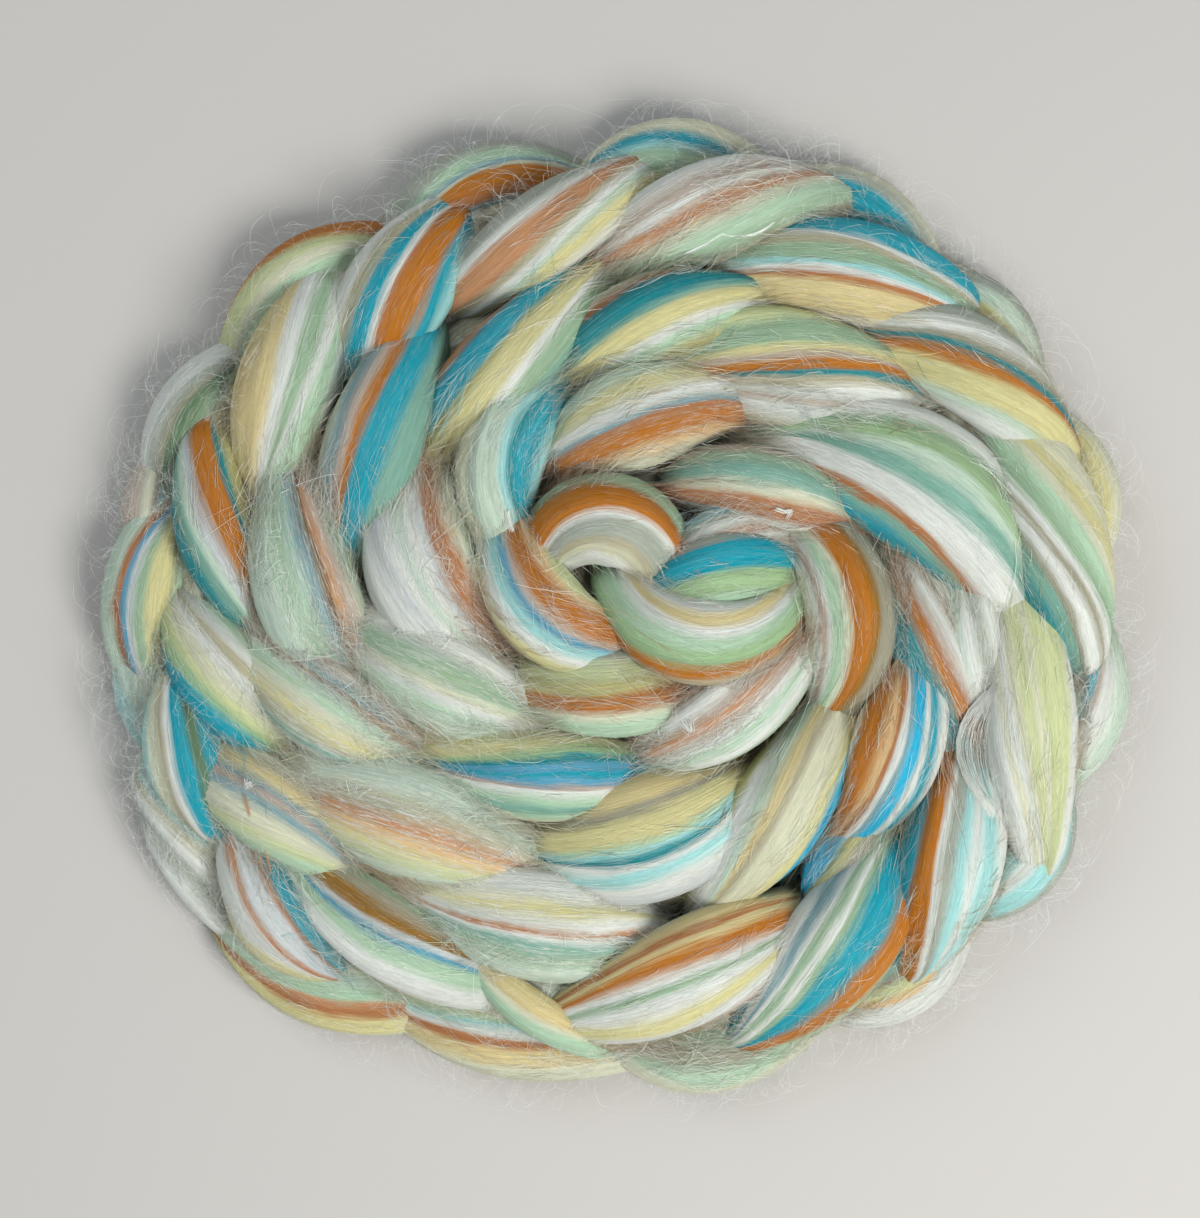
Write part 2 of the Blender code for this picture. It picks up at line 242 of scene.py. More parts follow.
INNER = Layer(35, 22, 0.6, 0.5, 0.12, (
    Fold("inner_01", -14, 56, -27, 14, 8, 22, -2,
         "aqua; turquoise 4 8 -5; teal 32 32 10; aqua 48 42 16; pale_mint 57 50 22; "
         "cream 100 84 80"),
    Fold("inner_02", -14, 35, 28, 47.5, -6, 25, 0,
         "pale_mint; yellow 12 16 -5; white 30 36 10; slate 44 52 34; rust 48 56 38; "
         "orange 58 63 52; peach 78 80 74; cream 88 92 92"),
    Fold("inner_03", 14, 31, 57, 20, -4, 19, -2,
         "pink; sage 12 10 5; jade 24 22 20; cream 52 49 38; rust 64 64 48; white 92 94 86; "
         "beige 96 97 90"),
    Fold("inner_04", 44, 21, 51, -24, -9, 23, 0,
         "taupe; taupe 6 10 14; gold 20 24 26; orange 26 30 34; cream 50 55 50; mint 58 60 57; "
         "white 70 75 72; pink 76 80 78; mauve 82 84 83; white 86 87 86; cream 95 94 94"),
    Fold("inner_05", 7, -35, 46, -8, 3, 20, -1,
         "mauve; white 22 18 8; pink 34 30 20; salmon 44 40 30; mauve 58 55 45; white 70 66 55; "
         "mint 78 74 64; white 88 84 78; sage 96 92 90"),
    Fold("inner_06", -24, -17, 20, -19, 3, 21, -1,
         "grey; lime 10 10 -10; olive 40 30 10; orange 64 50 32; cream 86 70 66; mint 92 78 72"),
    Fold("inner_07", -26, 23, 4, -10, 10, 22, 2,
         "lime; peach 12 10 -5; orange 30 18 8; pink 50 45 46; blue 60 54 54; aqua 66 62 60; "
         "white 82 78 74; yellow 96 88 84"),
    Fold("inner_08", -18, 11, 12, 6, -13, 22, 3,
         "sage; orange 2 12 14; white 49 41 34; grey 53 46 38; beige 70 70 70; cream 72 76 78; "
         "white 76 88 94"),
    Fold("inner_09", -1, 9, 44, 5, 15, 20, 5,
         "white; sand 20 18 16; white 32 32 34; mint 44 46 48; green 74 62 56; orange 98 80 84; "
         "beige 110 95 92"),
    Fold("inner_10", 8, 2.4, 43, 9.4, -3, 17, 2,
         "grey; turquoise 12 12 2; green 50 50 54; mint 76 80 84"),
    Fold("inner_11", 12, 8, 42, 19, -3, 17, -2,
         "turquoise; grey 10 6 0; white 24 18 12; rust 38 38 36; pink 46 46 44; white 54 54 54; "
         "pink 66 66 66; slate 82 80 80"),
))

# Each turn of the coil is nearly round. Under its visible folds lie the wool inside the
# plait and one ring of folds that cross it the other way and press flat on the floor.
Turn = namedtuple("Turn", "x y radius under_folds")

TURNS = (
    Turn(0, -1, 95, 22),
    Turn(1, 4, 66, 15),
    Turn(10, 6, 36, 8),
    Turn(6, 8, 10, 3),
)

UNDER = Layer(17, 12, 0.5, 0.5, 0.12, ())
UNDER_LENGTH = 42
UNDER_WIDTH = 23
UNDER_SLANT_DEG = 34
UNDER_BOW = 2
UNDER_STRIPES = (
    "white; mint 20 24 28; cream 44 40 42; orange 60 58 60; yellow 76 74 70",
    "sage; white 18 22 20; turquoise 40 44 48; pale_mint 60 62 66; sand 84 80 78",
    "cream; sand 20 16 14; white 40 44 40; rust 62 58 54; mint 72 74 76",
    "pale_mint; yellow 26 30 34; sage 50 52 50; white 70 66 64; aqua 86 84 86",
)

CORE_WIDTH = 27
CORE_THICKNESS = 16
CORE_HEIGHT = 10
CORE_STEPS = 120  # along a core, and round it
CORE_SIDES = 20
CORE_LEAST = 0.3  # no point of it lies nearer to the middle of its turn or to the floor
CORE_STRIPES = "beige; grey 20 24 20; pale_mint 44 40 46; taupe 66 70 64"

THICKNESS_SHARE = 0.84  # a fold's thickness over its width
ROUND_SHARE = 0.2  # the part of a fold's length that rounds off at each end
TIP_SHARE = 0.01  # how far inside the rounding a fold's blunt tip lies
BLUNTNESS = 0.75  # the lower, the blunter the tips
SINK = 5  # how much farther its tucked ends go down
RUN_STEP = 0.004  # the run at t is taken from so far before it to so far after it
STATIONS = (0.15, 0.5, 0.85)  # along a fold, for the three numbers of a stripe
OPEN_END = 160  # how far the outermost stripes run on
HIDDEN_STRIPES = (14, 32)  # where the hidden flanks' stripes begin, past the outermost edges
FLANK = 0.2 * math.pi  # across counts by the view from above up to here, then along the skin
LEAST_STRIPE = 1.5  # on the chart that all of a fold shares
LEAST_SHOWN = 0.5  # across the fold itself
CHART_LOW = -220  # the relief's chart starts here
CHART_SPAN = 560  # and is this wide
RAMP_MARGIN = 12  # of a fold's colour ramp, past the outermost edges of its stripes
FEATHER = 4.2  # how far a dye's edge runs out into the next one
MOST_FEATHER = 0.38  # the same at most, over the dye's width
MATTED_FEATHER = 0.08  # and so much more where the wool is matted
BULGE = 0.055  # how far each dye's lock stands out, over its width
MOST_BULGE = 0.5
OUTERMOST_LOCK = 60  # how wide the outermost locks are

# How matted a fold's fibres are, from 0 to 1. A fold that isn't listed is as SMOOTH says.
SMOOTH = 0.3
MATTED = {
    "rim_06": 0.7, "rim_09": 0.7, "rim_12": 0.9, "rim_13": 0.9, "rim_15": 0.8, "rim_16": 0.6,
    "outer_03": 0.7, "outer_07": 0.4, "outer_12": 0.9, "outer_13": 0.4, "outer_14": 0.6,
    "outer_15": 0.6, "outer_16": 0.4, "outer_17": 0.4,
    "middle_01": 0.4, "middle_04": 0.6, "middle_06": 0.7, "middle_09": 0.7, "middle_12": 1.0,
    "middle_13": 0.9, "middle_14": 0.9, "middle_15": 0.4, "middle_16": 0.8, "middle_17": 0.9,
    "middle_18": 0.8,
    "inner_01": 0.6, "inner_02": 0.6, "inner_03": 0.6, "inner_05": 1.0, "inner_06": 0.6,
    "inner_07": 0.5, "inner_11": 1.0, "core": 0.9,
}

# ---- relief and fibres ----

# Lumps, locks and strands that run along a fold: width across it and length along it, and
# how far they stand out, all in millimetres.
Relief = namedtuple("Relief", "across along height")

RELIEFS = (Relief(7, 26, 1.1), Relief(2.8, 28, 0.5), Relief(1.2, 26, 0.2))
LEAST_RELIEF = 0.7  # its share where the wool isn't matted, and what full matting adds
MATTED_RELIEF = 0.6
ROUND_STEPS = 52  # round a fold, more of them on its upper side
UPPER_STEPS = 38
UNDER_ROUND_STEPS = 28
UPPER_REACH = 0.15  # half turns that the closer steps run on past each edge
STEP_LENGTH = 1.7  # along a fold, millimetres
UNDER_STEP_LENGTH = 2.6
FLOOR_GAP = 0.02  # from a fold's flat underside to the floor, and by how much it varies
FLOOR_GAP_SPREAD = 0.2

FIBRE_RADIUS = 0.028
LOWEST_FIBRE = 0.15
TIP_SINK = 0.5  # the ends of a draped fibre go in so far
TUBE_SIDES = 3
LEANING = (0.31, 0.17, 0.93)  # hardly any fibre runs this way, so its sides are found from it
WISP_FIBRES = 10

# The pieces of loose wool that lie over the folds: their number of fibres, the points of
# each, and the shortest and longest ones in millimetres.
Drape = namedtuple("Drape", "fibres points shortest longest")

DRAPES = (
    Drape(8000, 4, 4, 12), Drape(8000, 4, 4, 12), Drape(8000, 4, 5, 13), Drape(8000, 4, 5, 13),
    Drape(5000, 6, 12, 26),
)
# Draped fibres lie in wisps. A wisp starts where the wool is higher than WISP_LOWEST, more
# often where it is matted, and over a hollow, by each millimetre down to HOLLOW_DEEPEST.
WISP_LOWEST = 6
HOLLOW_DEEPEST = 5
HOLLOW_CHANCE = 2
SMOOTH_CHANCE = 0.12
MATTED_CHANCE = 1.5
# How much a wisp strays from the run of the fold and curls, in radians, and then each of
# its fibres from the others. What matting adds to it comes second.
WISP_STRAY = (0.08, 0.8)
WISP_CURL = (0.5, 1.2)  # here matting adds a share of it
FIBRE_STRAY = (0.06, 0.22)
FIBRE_CURL = 0.35
WISP_WIDTH = (0.3, 1.8)  # how far its fibres lie apart, in the narrowest and widest wisps
WISP_START = (-0.5, 0.3)  # where they start along it, over their length: mean and spread
FIBRE_LEAST_LIFT = 0.08
FIBRE_LIFT = 0.2
ARCH = 0.6  # the lower, the steeper a draped fibre rises at its ends
MOST_PALE = 1.6  # the higher, the fewer of the fibres are white where it isn't matted
# Painted light: the loose fibres are made brighter than the dyes, for light glowing through them.
DRAPED_WHITE = (1.05, 1.5)  # how much brighter than the dye the loose fibres are
DRAPED_DYE = 1.25
DRAPED_GIRTH = (0.5, 1.8)  # the thinnest ones' radius, and what the thickest ones add to it
DRAPED_THIN = 3  # the higher, the fewer of them are thick

# A thin web of fibres is pulled out sideways from outer_07: the two places it hangs
# between, and the point its rim bends towards.
VEIL_FROM = (93, -19)
VEIL_TO = (95, -54)
VEIL_TOWARDS = (71, -32)
VEIL_FIBRES = 150
VEIL_POINTS = 10
VEIL_RIM = 0.4  # the share of its fibres that lie in the rim
VEIL_RIM_WIDTH = 0.03
VEIL_NEAR_RIM = 0.7  # the lower, the nearer to the rim the others lie
VEIL_ENDS = 0.9
VEIL_LIFT = (0.2, 1.3)
VEIL_GIRTH = (0.6, 1.3)
# Painted light: the web's fibres are up to a third brighter than the white dye, for light glowing
# through them.
VEIL_WHITE = (1.0, 1.3)

# Single strands and small tufts that stand out on the folds: a dye, the number of fibres,
# how far these lie apart, and the places in plan that they run through.
Strand = namedtuple("Strand", "dye fibres spread places")

STRANDS = (
    Strand("white", 16, 0.16, (
        (13, 84), (21.5, 87.5), (25.5, 90), (28, 89), (33.5, 90), (37.5, 92.5), (38.5, 95.5),
        (40, 96.5), (39.5, 99))),
    Strand("white", 16, 0.8, ((37.5, 92.5), (41.5, 96.5), (44, 101))),
    Strand("white", 14, 0.3, ((37.5, 24), (40, 23), (41.5, 23.5), (40.5, 21))),
    Strand("white", 18, 0.4, ((14.5, -24.5), (15.5, -27.5), (17.5, -29.5), (17, -26))),
    Strand("white", 5, 0.2, ((110, -38.5), (114.5, -40), (117.5, -39.5), (119.5, -36.5))),
    Strand("salmon", 8, 0.12, ((-90, -43.5), (-88, -51), (-85, -58), (-83.5, -65.5))),
    Strand("white", 12, 0.4, ((-89.5, -41), (-89, -43), (-87.5, -42))),
    Strand("white", 16, 0.5, ((-26.5, 24), (-26, 21), (-25, 18))),
    Strand("white", 12, 0.5, ((-28, -60.5), (-25, -58), (-23.5, -61))),
    Strand("white", 8, 0.4, ((-33, -60), (-32, -63))),
)
STRAND_POINTS = 12
STRAND_UNEVEN = 0.12  # a fibre is shorter than its strand by up to this share at each end
STRAND_LIFT = (0.5, 1.1)
STRAND_GIRTH = (1.2, 2.4)
STRAND_WHITE = (1.1, 1.5)

# Fibres that stand out round the rim: where they start, how far they reach, how much they
# drift along the rim and rise, over that, and how much they bend.
HALO_POINTS = 7
HALO_FIBRES = 3600
HALO_ALONG = (0.1, 0.9)  # of a fold's length
HALO_ROUND = (-0.1, 1.1)  # half turns round a fold
HALO_OUTWARD = 0.25  # they start where the skin faces outward at least so much
HALO_REACH = 8.0
HALO_SHARE = (0.3, 1.0)  # of that reach
HALO_SHORT = 1.6  # the higher, the more of them are short
HALO_OFF_SKIN = 0.8  # how much they head off the skin, over straight out from the middle
HALO_OUT = 0.7  # how far both take them, over their reach
HALO_SWING = (1.2, 2.6)  # radians: past a quarter turn they come back in
HALO_DRIFT = (0.2, 2.2)
HALO_RISE = (0.1, 0.25)
HALO_LATE = 1.4  # the higher, the nearer to its tip a fibre drifts
HALO_BEND = 0.4
HALO_WAVE = 6  # radians of bending along a fibre
HALO_GIRTH = (0.5, 1.2)
HALO_WHITE = (0.9, 1.4)
FARTHEST = 134  # no fibre reaches farther out from the middle, along x
FARTHEST_SHARE = 0.945  # and along y, over the same along x

# The height of the wool over the floor is kept on a square grid of this reach and pitch.
GRID_REACH = 145
GRID_PITCH = 0.5
SAG = 3.0  # fibres bridge creases about this wide
SEAM_WIDTH = 1.2  # along the seams between folds the loose fibres are denser
SEAM_MATTED = 0.7
SEAM_STRENGTH = 3
HOLLOW_SHADE = (0.08, 0.11, 0.14)  # off a loose fibre's red, green and blue, each millimetre down
LOWEST_DRAPED = 2.0  # none of the draped fibres lies on the floor
SKY_SHUT = 0.1  # wool that sees so little of the sky gets the darkest painted shade
SKY_OPEN = 0.58  # and from here on no shade is painted on it
DEEPEST_PAINTED_SHADE = (0.36, 0.3312, 0.3024, 1)  # painted shade: what is left of a dye deep between the folds
SKY_DIRECTIONS = 12
SKY_DISTANCES = (1.5, 3, 5, 8, 12, 18, 26)
SKY_LIFT = 0.6  # a point looks at the sky from so far over it
COVERED_FROM = 1.5  # wool this far over a point starts to cover it
COVERED_OVER = 5  # and covers it wholly so much farther up
COVERED_SHARE = 0.75  # and then takes this share of its sky
SAMPLES_ALONG = 190  # of a fold's upper side, for the grids
SAMPLES_ROUND = 90

RANDOM_SEED = 20
UNDER_SEED = 100  # the hidden folds' shapes and looks have seeds from here on
UNDER_LOOK_SEED = 80
CORE_SEED = 99

# ---- the fibres' look ----

NOISE_ROUGHNESS = 0.6
# Streaks are thin lines of noise: their size along and across in millimetres, their turn
# from the run of the fold, and the noise between which they show.
Streak = namedtuple("Streak", "along across turn_deg low high")

STREAK_CURL = 1.2
PALE_STREAKS = (
    Streak(8, 0.36, 7, 0.58, 0.68), Streak(7, 0.34, -10, 0.58, 0.68),
    Streak(6, 0.38, 22, 0.60, 0.70), Streak(5, 0.40, -30, 0.60, 0.70),
)
# Thin dark lines, sunk in the relief and darkened as painted shadow.
DARK_STREAKS = (Streak(9, 0.40, -5, 0.60, 0.75), Streak(6, 0.36, 15, 0.62, 0.75))
WARM_STREAKS = (Streak(30, 1.6, 3, 0.52, 0.72),)
COOL_STREAKS = (Streak(28, 1.9, -4, 0.52, 0.72),)

# How far each size of noise moves a stripe's edge, in hundredths of the fold's width.
WANDER_SHIFT = 9
LOCK_SHIFT = 7
FIBRE_SHIFT = 6
# The fibres and the locks darken at random, most where their relief is low: partly painted shade in
# its grooves.
FIBRE_TONE = (0.3, 0.7)  # the noise between which the fibres and the locks darken
LOCK_TONE = (0.3, 0.6)
LOCK_HEIGHT = 1.2  # of the bump, over that of the fibres
PALE_HEIGHT = 0.5
DARK_DEPTH = 0.3
BUMP_STRENGTH = 0.6
BUMP_DISTANCE = 0.3
SEED_ALONG = 3.7  # centimetres from one piece's part of the noise to the next one's
SEED_ACROSS = 1.3

# A dye is darkened towards this where the fibres' relief is low: partly random tone, partly painted
# shade.
TONE_SHADE = (0.58, 0.56, 0.54, 1)
# and towards this in the thin sunk lines, as painted shadow
DARK_SHADE = (0.5, 0.47, 0.44, 1)
# How strong a look is on smooth wool, and what full matting adds.
Share = namedtuple("Share", "smooth matted")

OTHER_DYES = Share(0.03, 0.15)
# the thin sunk lines, darkened as painted shadow
PAINTED_SHADOW_LINES = Share(0.1, 0.1)
PALE_FIBRES = Share(0.02, 0.6)
SHEEN = Share(0.03, 0.22)
SHEEN_ROUGHNESS = 0.4
FIBRE_SHEEN = 0.1
WOOL_ROUGHNESS = 0.45
WOOL_SPECULAR = 0.14
WOOL_ANISOTROPY = 0.7

# ---- camera, floor and light ----

IMAGE_WIDTH = 1200
IMAGE_HEIGHT = 1218
CAMERA_X = -4.08
CAMERA_Y = -0.24
CAMERA_HEIGHT = 750
VIEW_WIDTH = 300  # of the floor, across the image
SENSOR = 36
NEAREST_SEEN = 0.01  # metres from the camera
FARTHEST_SEEN = 10

FLOOR_SIZE = 4.0  # metres
FLOOR_COLOUR = (0.46, 0.445, 0.42, 1)
FLOOR_ROUGHNESS = 0.9

# Round lights that face the coil: where and how wide they are, in metres, and their power.
Lamp = namedtuple("Lamp", "name location size power colour")

LAMPS = (
    Lamp("key", (0.55, -0.45, 0.85), 0.55, 14.0, (1, 0.98, 0.95)),
    Lamp("fill", (-0.7, 0.5, 0.9), 0.9, 5.5, (0.93, 0.97, 1)),
)
SKY_COLOUR = (0.86, 0.92, 1, 1)
SKY_STRENGTH = 0.35


def linear(value):
    """An sRGB value of 0 to 255 as linear light."""
    share = value / 255
    if share <= 0.04045:
        return share / 12.92
    return ((share + 0.055) / 1.055) ** 2.4


def dye(name):
    """A dye as linear light, opaque."""
    return tuple(linear(value) for value in DYES[name]) + (1,)


# ---- shapes of the folds ----


def arc(fold, t):
    """Plan positions at t along the fold's circular arc."""
    dx, dy = fold.x1 - fold.x0, fold.y1 - fold.y0
    chord = math.hypot(dx, dy)
    along, side = (t - 0.5) * chord, 0 * t
    if fold.bow:
        angle = 4 * math.atan(2 * fold.bow / chord)
        radius = chord / 2 / math.sin(angle / 2)
        along = radius * np.sin((t - 0.5) * angle)
        side = radius * (np.cos((t - 0.5) * angle) - math.cos(angle / 2))
    ux, uy = dx / chord, dy / chord
    middle_x, middle_y = (fold.x0 + fold.x1) / 2, (fold.y0 + fold.y1) / 2
    return middle_x + ux * along + uy * side, middle_y + uy * along - ux * side


def girth(fold, layer, t):
    """Half widths at t, narrow at both ends, and a factor that rounds off the tips."""
    swell = np.sin(math.pi * t)
    share = np.where(t < 0.5, layer.start_share, layer.end_share)
    to_tip = np.minimum(t, 1 - t) + layer.tucked + TIP_SHARE
    near_end = np.minimum(1, to_tip / ROUND_SHARE)
    rounding = np.sin(math.pi / 2 * near_end) ** BLUNTNESS
    return fold.width / 2 * (share + (1 - share) * swell), rounding


def axis(fold, layer, t):
    """The fold's middle line at t, low at both ends."""
    half, _ = girth(fold, layer, t)
    top = layer.tuck + (layer.crest + fold.lift - layer.tuck) * np.sin(math.pi * t)
    beyond = np.maximum(0, np.maximum(-t, t - 1)) / layer.tucked
    top = top - SINK * beyond ** 2
    x, y = arc(fold, t)
    return np.stack((x, y, top - half * THICKNESS_SHARE), -1)


def unit(vectors):
    """The vectors at a length of one."""
    return vectors / np.linalg.norm(vectors, axis=-1, keepdims=True)


def directions(fold, layer, t):
    """Unit vectors to the right of the run and up from it, at t."""
    run = unit(axis(fold, layer, t + RUN_STEP) - axis(fold, layer, t - RUN_STEP))
    level = np.stack((run[..., 1], -run[..., 0], 0 * t), -1)
    right = unit(level)
    return right, np.cross(right, run)


def skin(fold, layer, t, angle, raised=0.0):
    """Points and outward directions of a fold's skin.

    angle runs from 0 at the left edge over the top to pi at the right edge and back
    underneath. raised moves the points outward.
    """
    half, rounding = girth(fold, layer, t)
    half = half * rounding
    right, up = directions(fold, layer, t)
    across, rise = -np.cos(angle), np.sin(angle)
    out = unit(right * (across * THICKNESS_SHARE)[..., None] + up * rise[..., None])
    points = (
        axis(fold, layer, t)
        + right * (half * across)[..., None]
        + up * (half * THICKNESS_SHARE * rise)[..., None]
    )
    raised = np.asarray(raised) * rounding
    return points + out * raised[..., None], out


# ---- stripes ----


def read_stripes(text):
    """The dyes of a fold, and where each one after the first begins at the stations.

    The flanks and the underside repeat the dyes next to them in the reverse order.
    """
    entries = [entry.split() for entry in text.split(";")]
    dyes = [entry[0] for entry in entries]
    edges = np.array([[float(value) for value in entry[1:]] for entry in entries[1:]])
    near, far = HIDDEN_STRIPES
    first, last = min(0, edges[0].min()), max(100, edges[-1].max())
    left = [[first - far] * 3, [first - near] * 3]
    right = [[last + near] * 3, [last + far] * 3]
    dyes = [dyes[2], dyes[1]] + dyes + [dyes[-2], dyes[-3]]
    return dyes, np.concatenate((left, edges, right))


def across_at(angle):
    """Across the fold, 0 at its left edge to 100 at its right one, and past them below."""
    angle = np.where(angle > 1.5 * math.pi, angle - 2 * math.pi, angle)
    kept = np.clip(angle, FLANK, math.pi - FLANK)
    slope = 50 * math.sin(FLANK)
    return 50 * (1 - np.cos(kept)) + slope * (angle - kept)


def spaced(places, least):
    """The places in order, none nearer than least to the one before it."""
    for i in range(1, len(places)):
        places[i] = max(places[i], places[i - 1] + least)
    return places


def widened(places, by):
    """The places, with one more on each side."""
    return np.concatenate(([places[0] - by], places, [places[-1] + by]))


def chart_edges(edges):
    """One place for each stripe's edge on the chart that all of the fold shares."""
    return spaced(edges.mean(axis=1), LEAST_STRIPE)


def edges_at(edges, t):
    """Where the stripes' edges lie at t: a parabola through the three stations."""
    a, b, c = STATIONS
    weights = np.array([
        (t - b) * (t - c) / ((a - b) * (a - c)),
        (t - a) * (t - c) / ((b - a) * (b - c)),
        (t - a) * (t - b) / ((c - a) * (c - b)),
    ])
    return spaced(edges @ weights, LEAST_SHOWN)


def flow(fold, t, angle):
    """The place on the fold's chart of points at t and angle, both flat arrays."""
    _, edges = read_stripes(fold.stripes)
    chart = widened(chart_edges(edges), OPEN_END)
    across = across_at(angle)
    result = np.empty_like(across)
    for station in np.unique(t):
        here = t == station
        shown = edges_at(edges, min(max(float(station), 0), 1))
        result[here] = np.interp(across[here], widened(shown, OPEN_END), chart)
    return result


# ---- relief ----


def between(values, x, y, smooth=False):
    """A grid's values at places between its points."""
    x = np.clip(x, 0, values.shape[0] - 1.001)
    y = np.clip(y, 0, values.shape[1] - 1.001)
    i, j = x.astype(int), y.astype(int)
    fx, fy = x - i, y - j
    if smooth:
        fx, fy = fx * fx * (3 - 2 * fx), fy * fy * (3 - 2 * fy)
    low = values[i, j] * (1 - fy) + values[i, j + 1] * fy
    high = values[i + 1, j] * (1 - fy) + values[i + 1, j + 1] * fy
    return low * (1 - fx) + high * fx


def bulge(fold, chart):
    """Each dye lies in a lock of its own, a little round, with a valley at its edges."""
    _, edges = read_stripes(fold.stripes)
    places = widened(chart_edges(edges), OUTERMOST_LOCK)
    index = np.clip(np.searchsorted(places, chart) - 1, 0, len(places) - 2)
    low, high = places[index], places[index + 1]
    across = np.clip((chart - low) / (high - low), 0, 1)
    height = np.minimum((high - low) / 100 * fold.width * BULGE, MOST_BULGE)
    return height * np.sqrt(np.maximum(1 - (2 * across - 1) ** 4, 0))


def relief(fold, layer, seed, t, chart):
    """How far the skin stands out in lumps, locks and strands that follow the stripes."""
    random = np.random.default_rng(seed)
    length = math.hypot(fold.x1 - fold.x0, fold.y1 - fold.y0)
    across = (chart - CHART_LOW) / 100 * fold.width
    span = CHART_SPAN / 100 * fold.width
    along = (t + layer.tucked) * length
    reach = (1 + 2 * layer.tucked) * length
    total = bulge(fold, chart)
    rough = LEAST_RELIEF + MATTED_RELIEF * MATTED.get(fold.name, SMOOTH)
    for kind in RELIEFS:
        cells = int(span / kind.across) + 3, int(reach / kind.along) + 4
        lattice = random.uniform(-1, 1, cells)
        bumps = between(lattice, across / kind.across, along / kind.along, smooth=True)
        total = total + kind.height * rough * bumps
    return total


# ---- heights and hollows ----


def grid_place(x, y):
    """Row and column, with fractions, of plan positions on the height grid."""
    return (x + GRID_REACH) / GRID_PITCH, (y + GRID_REACH) / GRID_PITCH


def top_samples(layer):
    """Close samples of t and angle over a fold's upper side."""
    along = whole_length(layer, np.linspace(0, 1, SAMPLES_ALONG))
    return np.meshgrid(along, np.linspace(0, math.pi, SAMPLES_ROUND), indexing="ij")


def blurred(values, radius):
    """Gaussian blur of a grid; the radius is in millimetres."""
    reach = int(3 * radius / GRID_PITCH)
    steps = np.arange(-reach, reach + 1) * GRID_PITCH / radius
    weights = np.exp(-steps * steps / 2)
    weights /= weights.sum()
    for axis_index in (0, 1):
        values = np.apply_along_axis(np.convolve, axis_index, values, weights, "same")
    return values


def surface_grids(visible):
    """Over each cell of the floor: the wool's height, and of the topmost fold the bearing,
    how matted it is there, and the dye that shows.
    """
    cells = int(2 * GRID_REACH / GRID_PITCH) + 1
    heights, bearings, matting, owner = np.zeros((4, cells, cells))
    dyes_shown = np.zeros((cells, cells, 3))
    for number, (fold, layer) in enumerate(visible, 1):
        t, angle = top_samples(layer)
        points, _ = skin(fold, layer, t, angle)
        points = points.reshape(-1, 3)
        right, _ = directions(fold, layer, t)
        bearing = np.arctan2(right[..., 0], -right[..., 1]).ravel()
        names, edges = read_stripes(fold.stripes)
        chart = flow(fold, t.ravel(), angle.ravel())
        colours = np.array([dye(name)[:3] for name in names])
        shown = colours[np.searchsorted(chart_edges(edges), chart)]
        order = np.argsort(points[:, 2])
        i, j = grid_place(points[order, 0], points[order, 1])
        i, j = np.rint(i).astype(int), np.rint(j).astype(int)
        wins = points[order, 2] >= heights[i, j]
        i, j, order = i[wins], j[wins], order[wins]
        heights[i, j] = points[order, 2]
        bearings[i, j] = bearing[order]
        dyes_shown[i, j] = shown[order]
        matting[i, j] = MATTED.get(fold.name, SMOOTH)
        owner[i, j] = number
    seams = (owner != np.roll(owner, 1, 0)) | (owner != np.roll(owner, 1, 1))
    seams = np.minimum(1, blurred(seams.astype(float), SEAM_WIDTH) * SEAM_STRENGTH)
    return heights, bearings, np.maximum(matting, seams * SEAM_MATTED), dyes_shown


def look_up(values, x, y):
    """The value of a grid over the floor at plan positions."""
    return between(values, *grid_place(x, y))


def open_sky(points, heights):
    """The share of the sky that points see past the wool round them, from 0 to 1."""
    x, y, z = points[:, 0], points[:, 1], points[:, 2] + SKY_LIFT
    seen = np.zeros(len(points))
    for i in range(SKY_DIRECTIONS):
        turned = 2 * math.pi * i / SKY_DIRECTIONS
        steepest = np.zeros(len(points))
        for distance in SKY_DISTANCES:
            over = look_up(
                heights, x + distance * math.cos(turned), y + distance * math.sin(turned))
            steepest = np.maximum(steepest, (over - z) / distance)
        seen += 1 / (1 + steepest ** 2)
    above = look_up(heights, x, y) - z
    covered = np.clip((above - COVERED_FROM) / COVERED_OVER, 0, 1)
    return seen / SKY_DIRECTIONS * (1 - COVERED_SHARE * covered)


# ---- meshes ----


def wool_mesh(name, points, loops):
    """A mesh from arrays of points and of equal faces."""
    mesh = bpy.data.meshes.new(name)
    count, corners = loops.shape
    mesh.vertices.add(len(points))
    mesh.vertices.foreach_set("co", (points * MM).astype(np.float32).ravel())
    mesh.loops.add(count * corners)
    mesh.loops.foreach_set("vertex_index", loops.astype(np.int32).ravel())
    mesh.polygons.add(count)
    mesh.polygons.foreach_set("loop_start", np.arange(0, count * corners, corners, dtype=np.int32))
    mesh.update(calc_edges=True)
    mesh.shade_smooth()
    return mesh


def set_map(mesh, name, values):
    """A UV map from one (u, v) for each corner of each face."""
    layer = mesh.uv_layers.new(name=name)
    layer.data.foreach_set("uv", values.astype(np.float32).ravel())


def round_angles(steps, upper):
    """Angles round a fold, closer together over the top."""
    first, last = -UPPER_REACH * math.pi, (1 + UPPER_REACH) * math.pi
    over = np.linspace(first, last, upper + 1)
    below = np.linspace(last, (2 - UPPER_REACH) * math.pi, steps - upper + 1)[1:-1]
    return np.concatenate((over, below))


def rest_on_floor(points, random):
    """Presses what would lie under the floor flat, a hair above it."""
    gap = FLOOR_GAP + FLOOR_GAP_SPREAD * random.random()
    points[:, 2] = np.maximum(points[:, 2], gap)
    return points


def whole_length(layer, share):
    """t at a share of a fold's whole length, its tucked ends counted."""
    return share * (1 + 2 * layer.tucked) - layer.tucked


